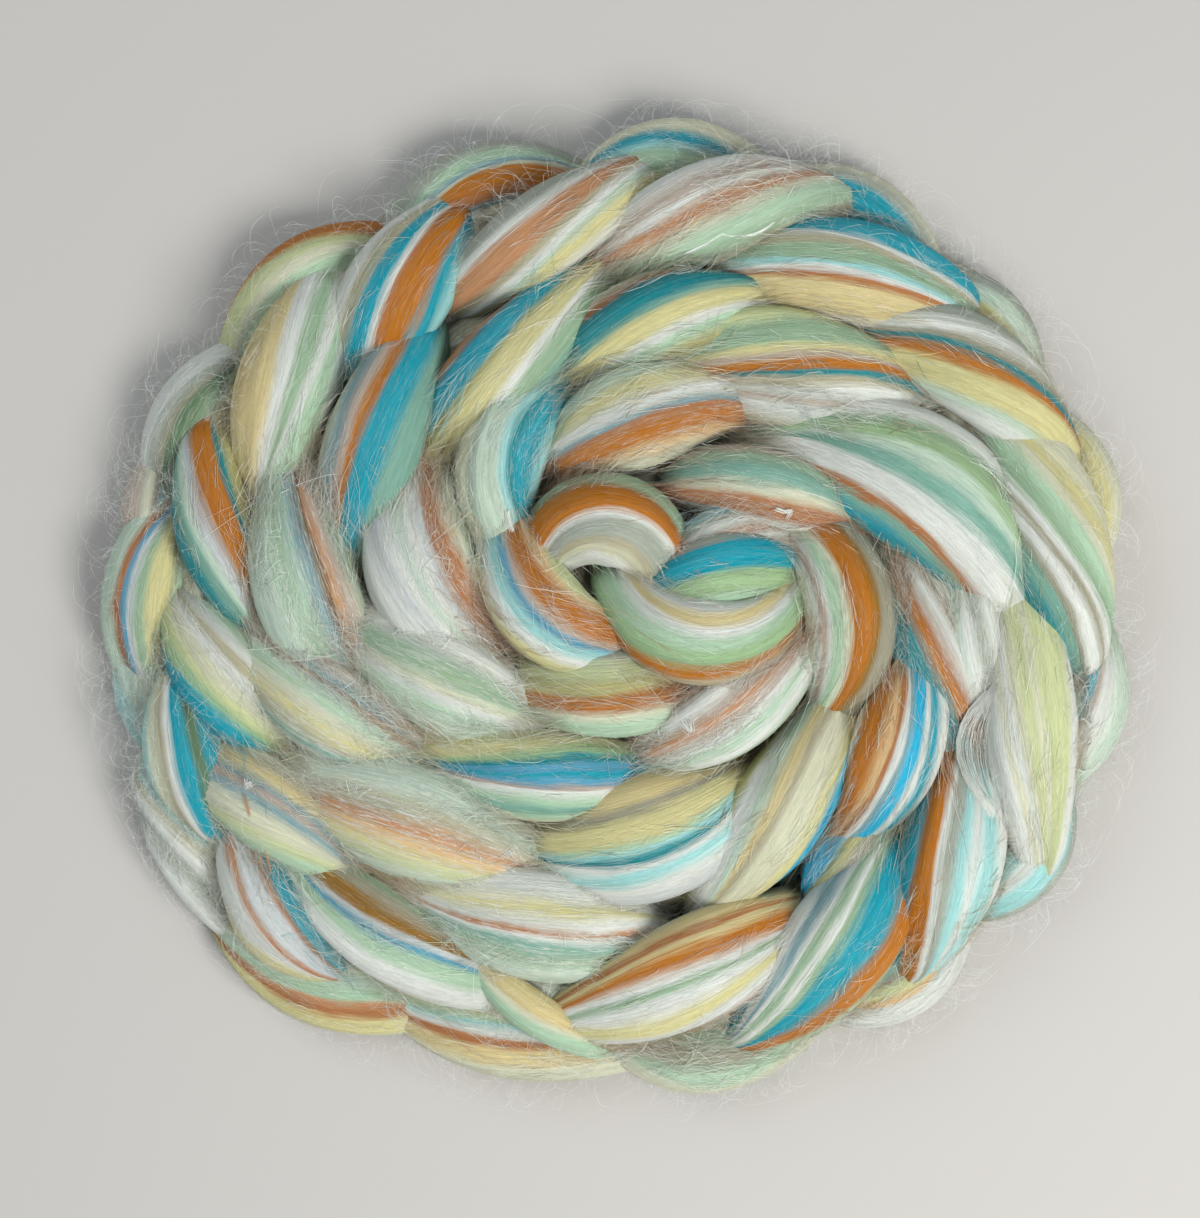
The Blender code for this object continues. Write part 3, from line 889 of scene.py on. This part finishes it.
def fold_piece(fold, layer, seed, angles, step_length, heights):
    """One fold as a closed mesh with its maps."""
    random = np.random.default_rng(seed)
    length = math.hypot(fold.x1 - fold.x0, fold.y1 - fold.y0) + 2 * abs(fold.bow)
    rings = int(length * (1 + 2 * layer.tucked) / step_length) + 1
    even = np.linspace(0, 1, rings)
    crowded = (1 - np.cos(np.linspace(0, math.pi, rings))) / 2
    ts = 0.5 * crowded + 0.5 * even
    columns = len(angles)
    t, angle = np.meshgrid(whole_length(layer, ts), angles, indexing="ij")
    chart = flow(fold, t.ravel(), angle.ravel()).reshape(t.shape)
    raised = relief(fold, layer, seed, t, chart)
    points, _ = skin(fold, layer, t, angle, raised)
    points = rest_on_floor(points.reshape(-1, 3), random)

    ring, column = np.meshgrid(np.arange(rings - 1), np.arange(columns), indexing="ij")
    following = (column + 1) % columns
    quads = np.stack((
        ring * columns + column,
        ring * columns + following,
        (ring + 1) * columns + following,
        (ring + 1) * columns + column,
    ), -1).reshape(-1, 4)
    mesh = wool_mesh(fold.name, points, quads)

    u = ts[ring.ravel()], ts[ring.ravel() + 1]
    v = column.ravel() / columns, (column.ravel() + 1) / columns
    corners = np.stack((
        np.stack((v[0], u[0]), -1), np.stack((v[1], u[0]), -1),
        np.stack((v[1], u[1]), -1), np.stack((v[0], u[1]), -1),
    ), 1)
    set_map(mesh, "OFBake", corners)
    run = np.stack((t.ravel() * length, chart.ravel() / 100 * fold.width), -1)
    set_map(mesh, "flow", run[quads] * MAP_SCALE)
    close_ends(mesh)
    shade_hollows(mesh, heights)
    return mesh


def shade_hollows(mesh, heights):
    """Notes on each point how much open sky it sees, for the shade that the material paints in the
    hollows.
    """
    points = np.empty(len(mesh.vertices) * 3, np.float32)
    mesh.vertices.foreach_get("co", points)
    sky = open_sky(points.reshape(-1, 3) / MM, heights)
    kept = mesh.attributes.new("sky", "FLOAT", "POINT")
    kept.data.foreach_set("value", sky.astype(np.float32))


def close_ends(mesh):
    """Fills the small holes at the two tips."""
    shape = bmesh.new()
    shape.from_mesh(mesh)
    rims = [edge for edge in shape.edges if edge.is_boundary]
    bmesh.ops.holes_fill(shape, edges=rims, sides=0)
    bmesh.ops.recalc_face_normals(shape, faces=shape.faces)
    shape.to_mesh(mesh)
    shape.free()
    mesh.shade_smooth()


# ---- materials ----


def node(tree, kind, inputs, **settings):
    """A new node. inputs gives each socket its value, or the socket that feeds it."""
    made = tree.nodes.new(kind)
    for name, value in settings.items():
        setattr(made, name, value)
    set_inputs(tree, made, inputs)
    return made


def set_inputs(tree, made, inputs):
    """Sets a node's sockets, or feeds them from other sockets."""
    for name, value in inputs.items():
        if isinstance(value, bpy.types.NodeSocket):
            tree.links.new(value, made.inputs[name])
        else:
            made.inputs[name].default_value = value


def math_node(tree, operation, first, second):
    """The result of an operation on two numbers or sockets."""
    inputs = {0: first, 1: second}
    return node(tree, "ShaderNodeMath", inputs, operation=operation).outputs[0]


def attribute(tree, name, output):
    """What the mesh says on each of its points."""
    return node(tree, "ShaderNodeAttribute", {}, attribute_name=name).outputs[output]


def stretched_noise(tree, vector, along, across, detail, turn_deg=0, curl=0):
    """Noise in streaks: along and across are the streaks' sizes in millimetres."""
    mapping = node(tree, "ShaderNodeMapping", {
        "Vector": vector,
        "Rotation": (0, 0, math.radians(turn_deg)),
        "Scale": (1 / MAP_SCALE / along, 1 / MAP_SCALE / across, 1),
    })
    noise = node(tree, "ShaderNodeTexNoise", {
        "Vector": mapping.outputs["Vector"],
        "Scale": 1,
        "Detail": detail,
        "Roughness": NOISE_ROUGHNESS,
        "Distortion": curl,
    }, noise_dimensions="2D")
    return noise.outputs["Fac"]


def band(tree, value, low, high, interpolation="LINEAR"):
    """value as 0 at low to 1 at high."""
    inputs = {"Value": value, "From Min": low, "From Max": high}
    ranged = node(tree, "ShaderNodeMapRange", inputs, interpolation_type=interpolation)
    return ranged.outputs["Result"]


def thin_lines(tree, vector, streaks):
    """Lines at a slant to the fibre, 1 on them and 0 between."""
    result = None
    for streak in streaks:
        noise = stretched_noise(
            tree, vector, streak.along, streak.across, 2, streak.turn_deg, STREAK_CURL)
        lines = band(tree, noise, streak.low, streak.high)
        result = lines if result is None else math_node(tree, "MAXIMUM", result, lines)
    return result


def fibre_group():
    """The look of combed fibre along a map in centimetres, shared by all the wool.

    Shift moves the stripes' edges. Tone is lowest where the relief is low, and the wool is
    darkened there: partly random tone, partly painted shade in the grooves. Pale are single
    fibres that lie on top, Dark are thin sunk lines with painted shadow in them, Warm and
    Cool are strands of other dyes, and Height is the fibres' relief.
    """
    tree = bpy.data.node_groups.new("combed_fibre", "ShaderNodeTree")
    tree.interface.new_socket("Vector", in_out="INPUT", socket_type="NodeSocketVector")
    for name in ("Shift", "Tone", "Pale", "Dark", "Warm", "Cool", "Height"):
        tree.interface.new_socket(name, in_out="OUTPUT", socket_type="NodeSocketFloat")
    vector = node(tree, "NodeGroupInput", {}).outputs["Vector"]

    wander = stretched_noise(tree, vector, along=22, across=5, detail=2)
    locks = stretched_noise(tree, vector, along=26, across=1.1, detail=2)
    fibres = stretched_noise(tree, vector, along=14, across=0.34, detail=3)

    def swing(noise, reach):
        return math_node(tree, "MULTIPLY", math_node(tree, "SUBTRACT", noise, 0.5), reach)

    shift = math_node(tree, "ADD", swing(wander, WANDER_SHIFT), swing(locks, LOCK_SHIFT))
    shift = math_node(tree, "ADD", shift, swing(fibres, FIBRE_SHIFT))
    tone = math_node(tree, "ADD", band(tree, fibres, *FIBRE_TONE), band(tree, locks, *LOCK_TONE))
    pale = thin_lines(tree, vector, PALE_STREAKS)
    dark = thin_lines(tree, vector, DARK_STREAKS)
    height = math_node(tree, "ADD", math_node(tree, "MULTIPLY", locks, LOCK_HEIGHT), fibres)
    raised = math_node(tree, "MULTIPLY", pale, PALE_HEIGHT)
    sunk = math_node(tree, "MULTIPLY", dark, DARK_DEPTH)
    node(tree, "NodeGroupOutput", {
        "Shift": shift,
        "Tone": math_node(tree, "MULTIPLY", tone, 0.5),
        "Pale": pale,
        "Dark": dark,
        "Warm": thin_lines(tree, vector, WARM_STREAKS),
        "Cool": thin_lines(tree, vector, COOL_STREAKS),
        "Height": math_node(tree, "SUBTRACT", math_node(tree, "ADD", height, raised), sunk),
    })
    return tree


def mixed(tree, colour, other, factor, blend="MIX"):
    """The socket colour with some of the colour other; factor is a socket."""
    inputs = {"A": colour, "B": other, "Factor": factor}
    mix = node(tree, "ShaderNodeMix", inputs, data_type="RGBA", blend_type=blend)
    return mix.outputs["Result"]


def fill_ramp(ramp, dyes, places, matted):
    """Sets a colour ramp to the stripes, each one even but for its feathered edges.

    Returns what chart places the ramp's two ends stand for.
    """
    low, high = places[0] - RAMP_MARGIN, places[-1] + RAMP_MARGIN
    starts, ends = [low] + list(places), list(places) + [high]
    stops = []
    for name, start, end in zip(dyes, starts, ends):
        most = (end - start) * (MOST_FEATHER + MATTED_FEATHER * matted)
        feather = min(FEATHER * (1 + matted), most)
        stops.append((start + feather, name))
        stops.append((end - feather, name))
    elements = ramp.elements
    while len(elements) < len(stops):
        elements.new(0.5)
    for element, (stop, name) in zip(elements, stops):
        element.position = (stop - low) / (high - low)
        element.color = dye(name)
    return low, high


def by_matting(share, matted):
    """How strong a look is on wool that is matted so much."""
    return share.smooth + share.matted * matted


def shaded(name, **sockets):
    """A material with a plain shader; returns it, its tree and the shader."""
    material = bpy.data.materials.new(name)
    material.use_nodes = True
    tree = material.node_tree
    shader = tree.nodes["Principled BSDF"]
    set_inputs(tree, shader, {key.replace("_", " "): value for key, value in sockets.items()})
    return material, tree, shader


def wool_material(name, stripes, width, group, seed):
    """Combed wool with the fold's own stripes, and shade painted into its creases and hollows."""
    matted = MATTED.get(name, SMOOTH) ** 2
    material, tree, shader = shaded(
        "wool_" + name, Roughness=WOOL_ROUGHNESS, Specular_IOR_Level=WOOL_SPECULAR,
        Anisotropic=WOOL_ANISOTROPY, Sheen_Weight=by_matting(SHEEN, matted),
        Sheen_Roughness=SHEEN_ROUGHNESS, Sheen_Tint=dye("white"))
    flow_map = node(tree, "ShaderNodeUVMap", {}, uv_map="flow").outputs["UV"]
    moved = node(tree, "ShaderNodeMapping", {
        "Vector": flow_map,
        "Location": (seed * SEED_ALONG, seed * SEED_ACROSS, 0),
    })
    fibre = node(
        tree, "ShaderNodeGroup", {"Vector": moved.outputs["Vector"]}, node_tree=group)

    across = node(tree, "ShaderNodeSeparateXYZ", {"Vector": flow_map}).outputs["Y"]
    chart = math_node(tree, "MULTIPLY", across, 100 / MAP_SCALE / width)
    chart = math_node(tree, "ADD", chart, fibre.outputs["Shift"])
    ramp = node(tree, "ShaderNodeValToRGB", {})
    dyes, edges = read_stripes(stripes)
    low, high = fill_ramp(ramp.color_ramp, dyes, chart_edges(edges), matted)
    tree.links.new(band(tree, chart, low, high), ramp.inputs["Fac"])

    def some(output, share):
        return math_node(tree, "MULTIPLY", fibre.outputs[output], by_matting(share, matted))

    colour = ramp.outputs["Color"]
    colour = mixed(tree, colour, dye("yellow"), some("Warm", OTHER_DYES))
    colour = mixed(tree, colour, dye("jade"), some("Cool", OTHER_DYES))
    # Partly random tone, partly painted shade: darker where the fibres' relief is low.
    light = math_node(tree, "SUBTRACT", 1.0, fibre.outputs["Tone"])
    light = math_node(tree, "MULTIPLY", light, 0.5)
    colour = mixed(tree, colour, TONE_SHADE, light, "MULTIPLY")
    # Painted shadow in the thin sunk lines among the fibres.
    colour = mixed(tree, colour, DARK_SHADE, some("Dark", PAINTED_SHADOW_LINES), "MULTIPLY")
    colour = mixed(tree, colour, dye("white"), some("Pale", PALE_FIBRES))
    # Painted shade: wool that sees little open sky, deep between the folds, is darkened.
    opened = band(tree, attribute(tree, "sky", "Fac"), SKY_SHUT, SKY_OPEN, "SMOOTHSTEP")
    shut = math_node(tree, "SUBTRACT", 1.0, opened)
    colour = mixed(tree, colour, DEEPEST_PAINTED_SHADE, shut, "MULTIPLY")

    bump = node(tree, "ShaderNodeBump", {
        "Strength": BUMP_STRENGTH,
        "Distance": BUMP_DISTANCE * MM,
        "Height": fibre.outputs["Height"],
    })
    tangent = node(tree, "ShaderNodeTangent", {}, direction_type="UV_MAP", uv_map="flow")
    set_inputs(tree, shader, {
        "Base Color": colour,
        "Normal": bump.outputs["Normal"],
        "Tangent": tangent.outputs["Tangent"],
    })
    return material


def loose_fibre_material():
    """Loose fibres, each in its own pale tint."""
    material, tree, shader = shaded(
        "loose_fibre", Roughness=WOOL_ROUGHNESS, Sheen_Weight=FIBRE_SHEEN)
    set_inputs(tree, shader, {"Base Color": attribute(tree, "tint", "Color")})
    return material


# ---- pieces ----


def add_object(name, data):
    """A new object in the scene."""
    made = bpy.data.objects.new(name, data)
    bpy.context.scene.collection.objects.link(made)
    return made


def place(mesh, material):
    """Puts a piece of the braid in the scene, in place of the solid."""
    piece = add_object(mesh.name, mesh)
    mesh.materials.append(material)
    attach(piece, "root")
    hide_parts(NODE)


def turn_point(turn, t):
    """The plan position, and the bearing of the run, at t along one turn's axis."""
    angle = -2 * math.pi * t
    x = turn.x + turn.radius * math.cos(angle)
    y = turn.y + turn.radius * math.sin(angle)
    return x, y, angle - math.pi / 2


def underside():
    """The layer of folds that the coil lies on."""
    folds = []
    reach = UNDER_LENGTH / 2
    for turn in TURNS:
        for i in range(turn.under_folds):
            x, y, bearing = turn_point(turn, i / turn.under_folds)
            run = bearing + math.radians(UNDER_SLANT_DEG)
            dx, dy = reach * math.cos(run), reach * math.sin(run)
            name = f"under_{len(folds) + 1:02d}"
            stripes = UNDER_STRIPES[len(folds) % len(UNDER_STRIPES)]
            ends = (x - dx, y - dy, x + dx, y + dy)
            folds.append(Fold(name, *ends, UNDER_BOW, UNDER_WIDTH, 0, stripes))
    return UNDER._replace(folds=tuple(folds))


def core_piece(turn, name, heights):
    """The wool inside one turn of the plait."""
    steps, sides = CORE_STEPS, CORE_SIDES
    angle, around = np.meshgrid(
        np.arange(steps) / steps * -2 * math.pi,
        np.arange(sides) / sides * 2 * math.pi, indexing="ij")
    out = turn.radius + CORE_WIDTH / 2 * np.cos(around)
    out = np.maximum(out, CORE_LEAST)
    up = CORE_HEIGHT + CORE_THICKNESS / 2 * np.sin(around)
    points = np.stack((turn.x + out * np.cos(angle), turn.y + out * np.sin(angle), up), -1)
    points = points.reshape(-1, 3)
    points[:, 2] = np.maximum(points[:, 2], CORE_LEAST)
    ring, column = np.meshgrid(np.arange(steps), np.arange(sides), indexing="ij")
    next_ring, following = (ring + 1) % steps, (column + 1) % sides
    quads = np.stack((
        ring * sides + column, next_ring * sides + column,
        next_ring * sides + following, ring * sides + following,
    ), -1).reshape(-1, 4)
    mesh = wool_mesh(name, points, quads)
    u = np.stack((ring, ring + 1, ring + 1, ring), -1).reshape(-1, 4) / steps
    v = np.stack((column, column, column + 1, column + 1), -1).reshape(-1, 4) / sides
    set_map(mesh, "OFBake", np.stack((u, v), -1))
    length = 2 * math.pi * turn.radius
    set_map(mesh, "flow", np.stack((u * length, v * CORE_WIDTH), -1) * MAP_SCALE)
    shade_hollows(mesh, heights)
    return mesh


# ---- loose fibres ----


def fibre_mesh(name, lines, radii, tints):
    """Thin closed tubes, pointed at both ends, along lines of points in millimetres.

    lines is an array of (fibre, point, xyz).
    """
    count, steps, _ = lines.shape
    run = unit(np.gradient(lines, axis=1) + 1e-9)
    side = unit(np.cross(run, np.array(LEANING)))
    other = np.cross(run, side)
    rings = steps - 2
    inner = slice(1, steps - 1)
    sides = []
    for i in range(TUBE_SIDES):
        turned = 2 * math.pi * i / TUBE_SIDES
        offset = side[:, inner] * math.cos(turned) + other[:, inner] * math.sin(turned)
        sides.append(lines[:, inner] + offset * radii[:, None, None])
    tubes = np.stack(sides, 2).reshape(count, rings * TUBE_SIDES, 3)
    points = np.concatenate((tubes, lines[:, :1], lines[:, -1:]), 1)
    start = rings * TUBE_SIDES
    end = start + 1
    stride = start + 2
    last_ring = start - TUBE_SIDES
    faces = []
    for i in range(TUBE_SIDES):
        following = (i + 1) % TUBE_SIDES
        faces.append((start, i, following))
        faces.append((end, last_ring + following, last_ring + i))
        for ring in range(rings - 1):
            a, b = ring * TUBE_SIDES + i, ring * TUBE_SIDES + following
            faces.append((a, a + TUBE_SIDES, b))
            faces.append((b, a + TUBE_SIDES, b + TUBE_SIDES))
    faces = np.array(faces)[None] + np.arange(count)[:, None, None] * stride
    mesh = wool_mesh(name, points.reshape(-1, 3), faces.reshape(-1, 3))
    colours = np.ones((count, stride, 4), np.float32)
    colours[..., :3] = tints[:, None]
    kept = mesh.attributes.new("tint", "FLOAT_COLOR", "POINT")
    kept.data.foreach_set("color", colours.ravel())
    return mesh


def within_reach(lines):
    """Pulls in what would lie too far out, and keeps it over the floor."""
    reach = np.hypot(lines[..., 0], lines[..., 1] / FARTHEST_SHARE)
    share = np.minimum(1, FARTHEST / np.maximum(reach, 1))
    lines[..., 0] *= share
    lines[..., 1] *= share
    lines[..., 2] = np.maximum(lines[..., 2], LOWEST_FIBRE)
    return lines


def laid_lines(points, x, y, bearing, curl, length, lift, cover):
    """Lines over the wool that start at x and y, and arch up by lift."""
    lines = np.empty((len(x), points, 3))
    stride = length / (points - 1)
    for step in range(points):
        share = step / (points - 1)
        heading = bearing + curl * (share - 0.5)
        if step:
            x = x + stride * np.cos(heading)
            y = y + stride * np.sin(heading)
        raised = lift * math.sin(math.pi * share) ** ARCH
        lines[:, step] = np.stack((x, y, look_up(cover, x, y) + raised), -1)
    return lines


def white_tints(brightness, count, random):
    """White tints of a brightness between two bounds."""
    return np.array(dye("white")[:3]) * random.uniform(*brightness, count)[:, None]


def draped_fibres(drape, heights, cover, bearings, matting, dyes_shown, random):
    """Wisps of loose fibres that lie over the folds and bridge the creases between them."""
    cells = heights.shape[0]
    wisps = drape.fibres // WISP_FIBRES
    depth = np.clip(cover - heights, 0, HOLLOW_DEEPEST)
    chances = (1 + HOLLOW_CHANCE * depth) * (SMOOTH_CHANCE + MATTED_CHANCE * matting ** 2)
    chances = np.where(heights > WISP_LOWEST, chances, 0)
    chances = np.cumsum(chances.ravel())
    picked = np.searchsorted(chances, random.random(wisps) * chances[-1])
    row, column = picked // cells, picked % cells
    matted = matting[row, column]
    bearing = bearings[row, column] + random.choice((0, math.pi), wisps)
    stray, matted_stray = WISP_STRAY
    bearing = bearing + random.normal(0, 1, wisps) * (
        stray + matted_stray * matted * random.random(wisps))
    curl, matted_curl = WISP_CURL
    curl = random.normal(0, curl, wisps) * (1 + matted_curl * matted)

    def each(values):
        return np.repeat(values, WISP_FIBRES)

    row, column, matted = each(row), each(column), each(matted)
    count = len(row)
    aside = random.normal(0, 1, count) * each(random.uniform(*WISP_WIDTH, wisps))
    length = random.uniform(drape.shortest, drape.longest, count)
    start = random.normal(*WISP_START, count) * length
    bearing, curl = each(bearing), each(curl)
    x = row * GRID_PITCH - GRID_REACH + start * np.cos(bearing) - aside * np.sin(bearing)
    y = column * GRID_PITCH - GRID_REACH + start * np.sin(bearing) + aside * np.cos(bearing)
    stray, matted_stray = FIBRE_STRAY
    bearing = bearing + random.normal(0, stray, count)
    bearing = bearing + random.normal(0, matted_stray, count) * matted
    curl = curl + random.normal(0, FIBRE_CURL, count)
    lift = FIBRE_LEAST_LIFT + random.exponential(FIBRE_LIFT, count)

    pale = random.random(count) ** (MOST_PALE - matted)
    # Painted light: brighter than the dyes, for light glowing through the fibres.
    white = white_tints(DRAPED_WHITE, count, random)
    tints = dyes_shown[row, column] * DRAPED_DYE
    tints = tints + (white - tints) * pale[:, None]
    tints = tints * (1 - depth[row, column][:, None] * np.array(HOLLOW_SHADE))

    lines = laid_lines(drape.points, x, y, bearing, curl, length, lift, cover)
    kept = lines[..., 2].min(axis=1) > LOWEST_DRAPED
    lines[:, 0, 2] -= TIP_SINK
    lines[:, -1, 2] -= TIP_SINK
    thinnest, thicker = DRAPED_GIRTH
    radii = FIBRE_RADIUS * (thinnest + thicker * random.random(count) ** DRAPED_THIN)
    return within_reach(lines[kept]), radii[kept], tints[kept]


def veil_fibres(cover):
    """A thin web that is pulled out between two places, thickest along its rim."""
    random = np.random.default_rng(RANDOM_SEED + 1)
    share = np.linspace(0, 1, VEIL_POINTS)[None, :]
    reach = random.random(VEIL_FIBRES) ** VEIL_NEAR_RIM
    in_rim = random.random(VEIL_FIBRES) < VEIL_RIM
    rim_reach = 1 - np.abs(random.normal(0, VEIL_RIM_WIDTH, VEIL_FIBRES))
    reach = np.where(in_rim, rim_reach, reach)[:, None]
    places = []
    for start, end, corner in zip(VEIL_FROM, VEIL_TO, VEIL_TOWARDS):
        start = start + random.normal(0, VEIL_ENDS, VEIL_FIBRES)[:, None]
        end = end + random.normal(0, VEIL_ENDS, VEIL_FIBRES)[:, None]
        middle = (start + end) / 2
        corner = middle + (corner - middle) * reach
        places.append(
            (1 - share) ** 2 * start + 2 * share * (1 - share) * corner + share ** 2 * end)
    x, y = places
    lift = random.uniform(*VEIL_LIFT, VEIL_FIBRES)[:, None] * np.sin(math.pi * share)
    lines = np.stack((x, y, look_up(cover, x, y) + lift), -1)
    radii = FIBRE_RADIUS * random.uniform(*VEIL_GIRTH, VEIL_FIBRES)
    return within_reach(lines), radii, white_tints(VEIL_WHITE, VEIL_FIBRES, random)


def strand_fibres(cover):
    """The strands and tufts that stand out, a few fibres side by side in each."""
    random = np.random.default_rng(RANDOM_SEED + 2)
    lines, tints = [], []
    for strand in STRANDS:
        places = np.array(strand.places, float)
        passed = np.cumsum(np.hypot(*np.diff(places, axis=0).T))
        passed = np.concatenate(([0], passed))
        for _ in range(strand.fibres):
            start = random.uniform(0, STRAND_UNEVEN)
            end = random.uniform(1 - STRAND_UNEVEN, 1)
            along = np.linspace(start, end, STRAND_POINTS) * passed[-1]
            x = np.interp(along, passed, places[:, 0]) + random.normal(0, strand.spread)
            y = np.interp(along, passed, places[:, 1]) + random.normal(0, strand.spread)
            z = np.maximum(look_up(cover, x, y), LOWEST_DRAPED) + random.uniform(*STRAND_LIFT)
            lines.append(np.stack((x, y, z), -1))
            tints.append(np.array(dye(strand.dye)[:3]) * random.uniform(*STRAND_WHITE))
    radii = FIBRE_RADIUS * random.uniform(*STRAND_GIRTH, len(lines))
    return within_reach(np.array(lines)), radii, np.array(tints)


def halo_fibres(folds, count):
    """Fibres that stand out round the coil from the folds' outer flanks."""
    random = np.random.default_rng(RANDOM_SEED)
    step = np.linspace(0, 1, HALO_POINTS)[:, None]
    lines = []
    while len(lines) < count:
        fold, layer = folds[random.integers(len(folds))]
        t = np.array([random.uniform(*HALO_ALONG)])
        angle = np.array([random.uniform(*HALO_ROUND) * math.pi])
        base, out = skin(fold, layer, t, angle)
        base, out = base[0], out[0]
        flat = np.array([base[0], base[1], 0])
        flat = flat / (np.linalg.norm(flat) + 1e-6)
        if out @ flat < HALO_OUTWARD:
            continue
        reach = HALO_REACH * random.uniform(*HALO_SHARE) ** HALO_SHORT
        sideways = np.array([-flat[1], flat[0], 0]) * random.choice((-1, 1))
        drift = sideways * random.uniform(*HALO_DRIFT)
        drift = drift + np.array([0, 0, random.normal(*HALO_RISE)])
        swing = np.sin(step * random.uniform(*HALO_SWING))
        bend = random.normal(0, HALO_BEND, 3)
        line = base + (out * HALO_OFF_SKIN + flat) * reach * swing * HALO_OUT
        line = line + drift * reach * step ** HALO_LATE + bend * np.sin(step * HALO_WAVE)
        lines.append(line)
    radii = FIBRE_RADIUS * random.uniform(*HALO_GIRTH, count)
    return within_reach(np.array(lines)), radii, white_tints(HALO_WHITE, count, random)


# ---- scene ----


def make_camera():
    """Looks straight down, from a little to the side of the coil's middle."""
    data = bpy.data.cameras.new("camera")
    data.sensor_width = SENSOR
    view_height = VIEW_WIDTH * IMAGE_HEIGHT / IMAGE_WIDTH
    data.lens = SENSOR * CAMERA_HEIGHT / view_height
    data.clip_start = NEAREST_SEEN
    data.clip_end = FARTHEST_SEEN
    camera = add_object("camera", data)
    camera.location = (CAMERA_X * MM, CAMERA_Y * MM, CAMERA_HEIGHT * MM)
    bpy.context.scene.camera = camera


def make_floor():
    """A plain pale floor."""
    points = np.array([(-1, -1, 0), (1, -1, 0), (1, 1, 0), (-1, 1, 0)], float)
    mesh = wool_mesh("floor", points * FLOOR_SIZE / 2 / MM, np.array([[0, 1, 2, 3]]))
    material, _, _ = shaded("floor", Base_Color=FLOOR_COLOUR, Roughness=FLOOR_ROUGHNESS)
    mesh.materials.append(material)
    floor = add_object("floor", mesh)


def make_light():
    """Soft studio light."""
    for lamp in LAMPS:
        data = bpy.data.lights.new(lamp.name, "AREA")
        data.shape = "DISK"
        data.size = lamp.size
        data.energy = lamp.power
        data.color = lamp.colour
        light = add_object(lamp.name, data)
        light.location = lamp.location
        light.rotation_euler = (-light.location).to_track_quat("-Z", "Y").to_euler()
    world = bpy.data.worlds.new("studio")
    world.use_nodes = True
    sky = {"Color": SKY_COLOUR, "Strength": SKY_STRENGTH}
    set_inputs(world.node_tree, world.node_tree.nodes["Background"], sky)
    bpy.context.scene.world = world
    bpy.context.scene.view_settings.view_transform = "Standard"


def make_wool(visible, heights):
    """The folds in view, those under them and the cores."""
    group = fibre_group()
    upper_angles = round_angles(ROUND_STEPS, UPPER_STEPS)
    under_angles = round_angles(UNDER_ROUND_STEPS, UNDER_ROUND_STEPS // 2)
    for seed, (fold, layer) in enumerate(visible):
        mesh = fold_piece(fold, layer, seed, upper_angles, STEP_LENGTH, heights)
        place(mesh, wool_material(fold.name, fold.stripes, fold.width, group, seed))
    under = underside()
    materials = [
        wool_material(f"under_{i}", stripes, UNDER_WIDTH, group, UNDER_LOOK_SEED + i)
        for i, stripes in enumerate(UNDER_STRIPES)
    ]
    for i, fold in enumerate(under.folds):
        seed = UNDER_SEED + i
        mesh = fold_piece(fold, under, seed, under_angles, UNDER_STEP_LENGTH, heights)
        place(mesh, materials[i % len(materials)])
    core = wool_material("core", CORE_STRIPES, CORE_WIDTH, group, CORE_SEED)
    for i, turn in enumerate(TURNS):
        place(core_piece(turn, f"core_{i + 1}", heights), core)


def make_fibres(visible, heights, bearings, matting, dyes_shown):
    """All the loose fibres."""
    material = loose_fibre_material()
    cover = np.maximum(heights, blurred(heights, SAG))
    random = np.random.default_rng(RANDOM_SEED)
    for i, drape in enumerate(DRAPES):
        fibres = draped_fibres(drape, heights, cover, bearings, matting, dyes_shown, random)
        place(fibre_mesh(f"fibres_{i + 1}", *fibres), material)
    place(fibre_mesh("fibres_veil", *veil_fibres(cover)), material)
    place(fibre_mesh("fibres_strands", *strand_fibres(cover)), material)
    outer = [(fold, layer) for fold, layer in visible if layer is RIM or layer is OUTER]
    place(fibre_mesh("fibres_halo", *halo_fibres(outer, HALO_FIBRES)), material)


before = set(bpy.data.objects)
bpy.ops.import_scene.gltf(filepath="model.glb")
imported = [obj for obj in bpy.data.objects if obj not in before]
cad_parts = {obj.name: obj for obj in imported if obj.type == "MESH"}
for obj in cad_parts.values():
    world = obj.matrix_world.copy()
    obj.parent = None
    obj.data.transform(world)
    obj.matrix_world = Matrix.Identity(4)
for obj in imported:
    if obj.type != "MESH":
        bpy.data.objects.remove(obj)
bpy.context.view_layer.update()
make_camera()
make_floor()
make_light()
all_visible = [(fold, layer) for layer in (RIM, OUTER, MIDDLE, INNER) for fold in layer.folds]
surface = surface_grids(all_visible)
make_wool(all_visible, surface[0])
make_fibres(all_visible, *surface)
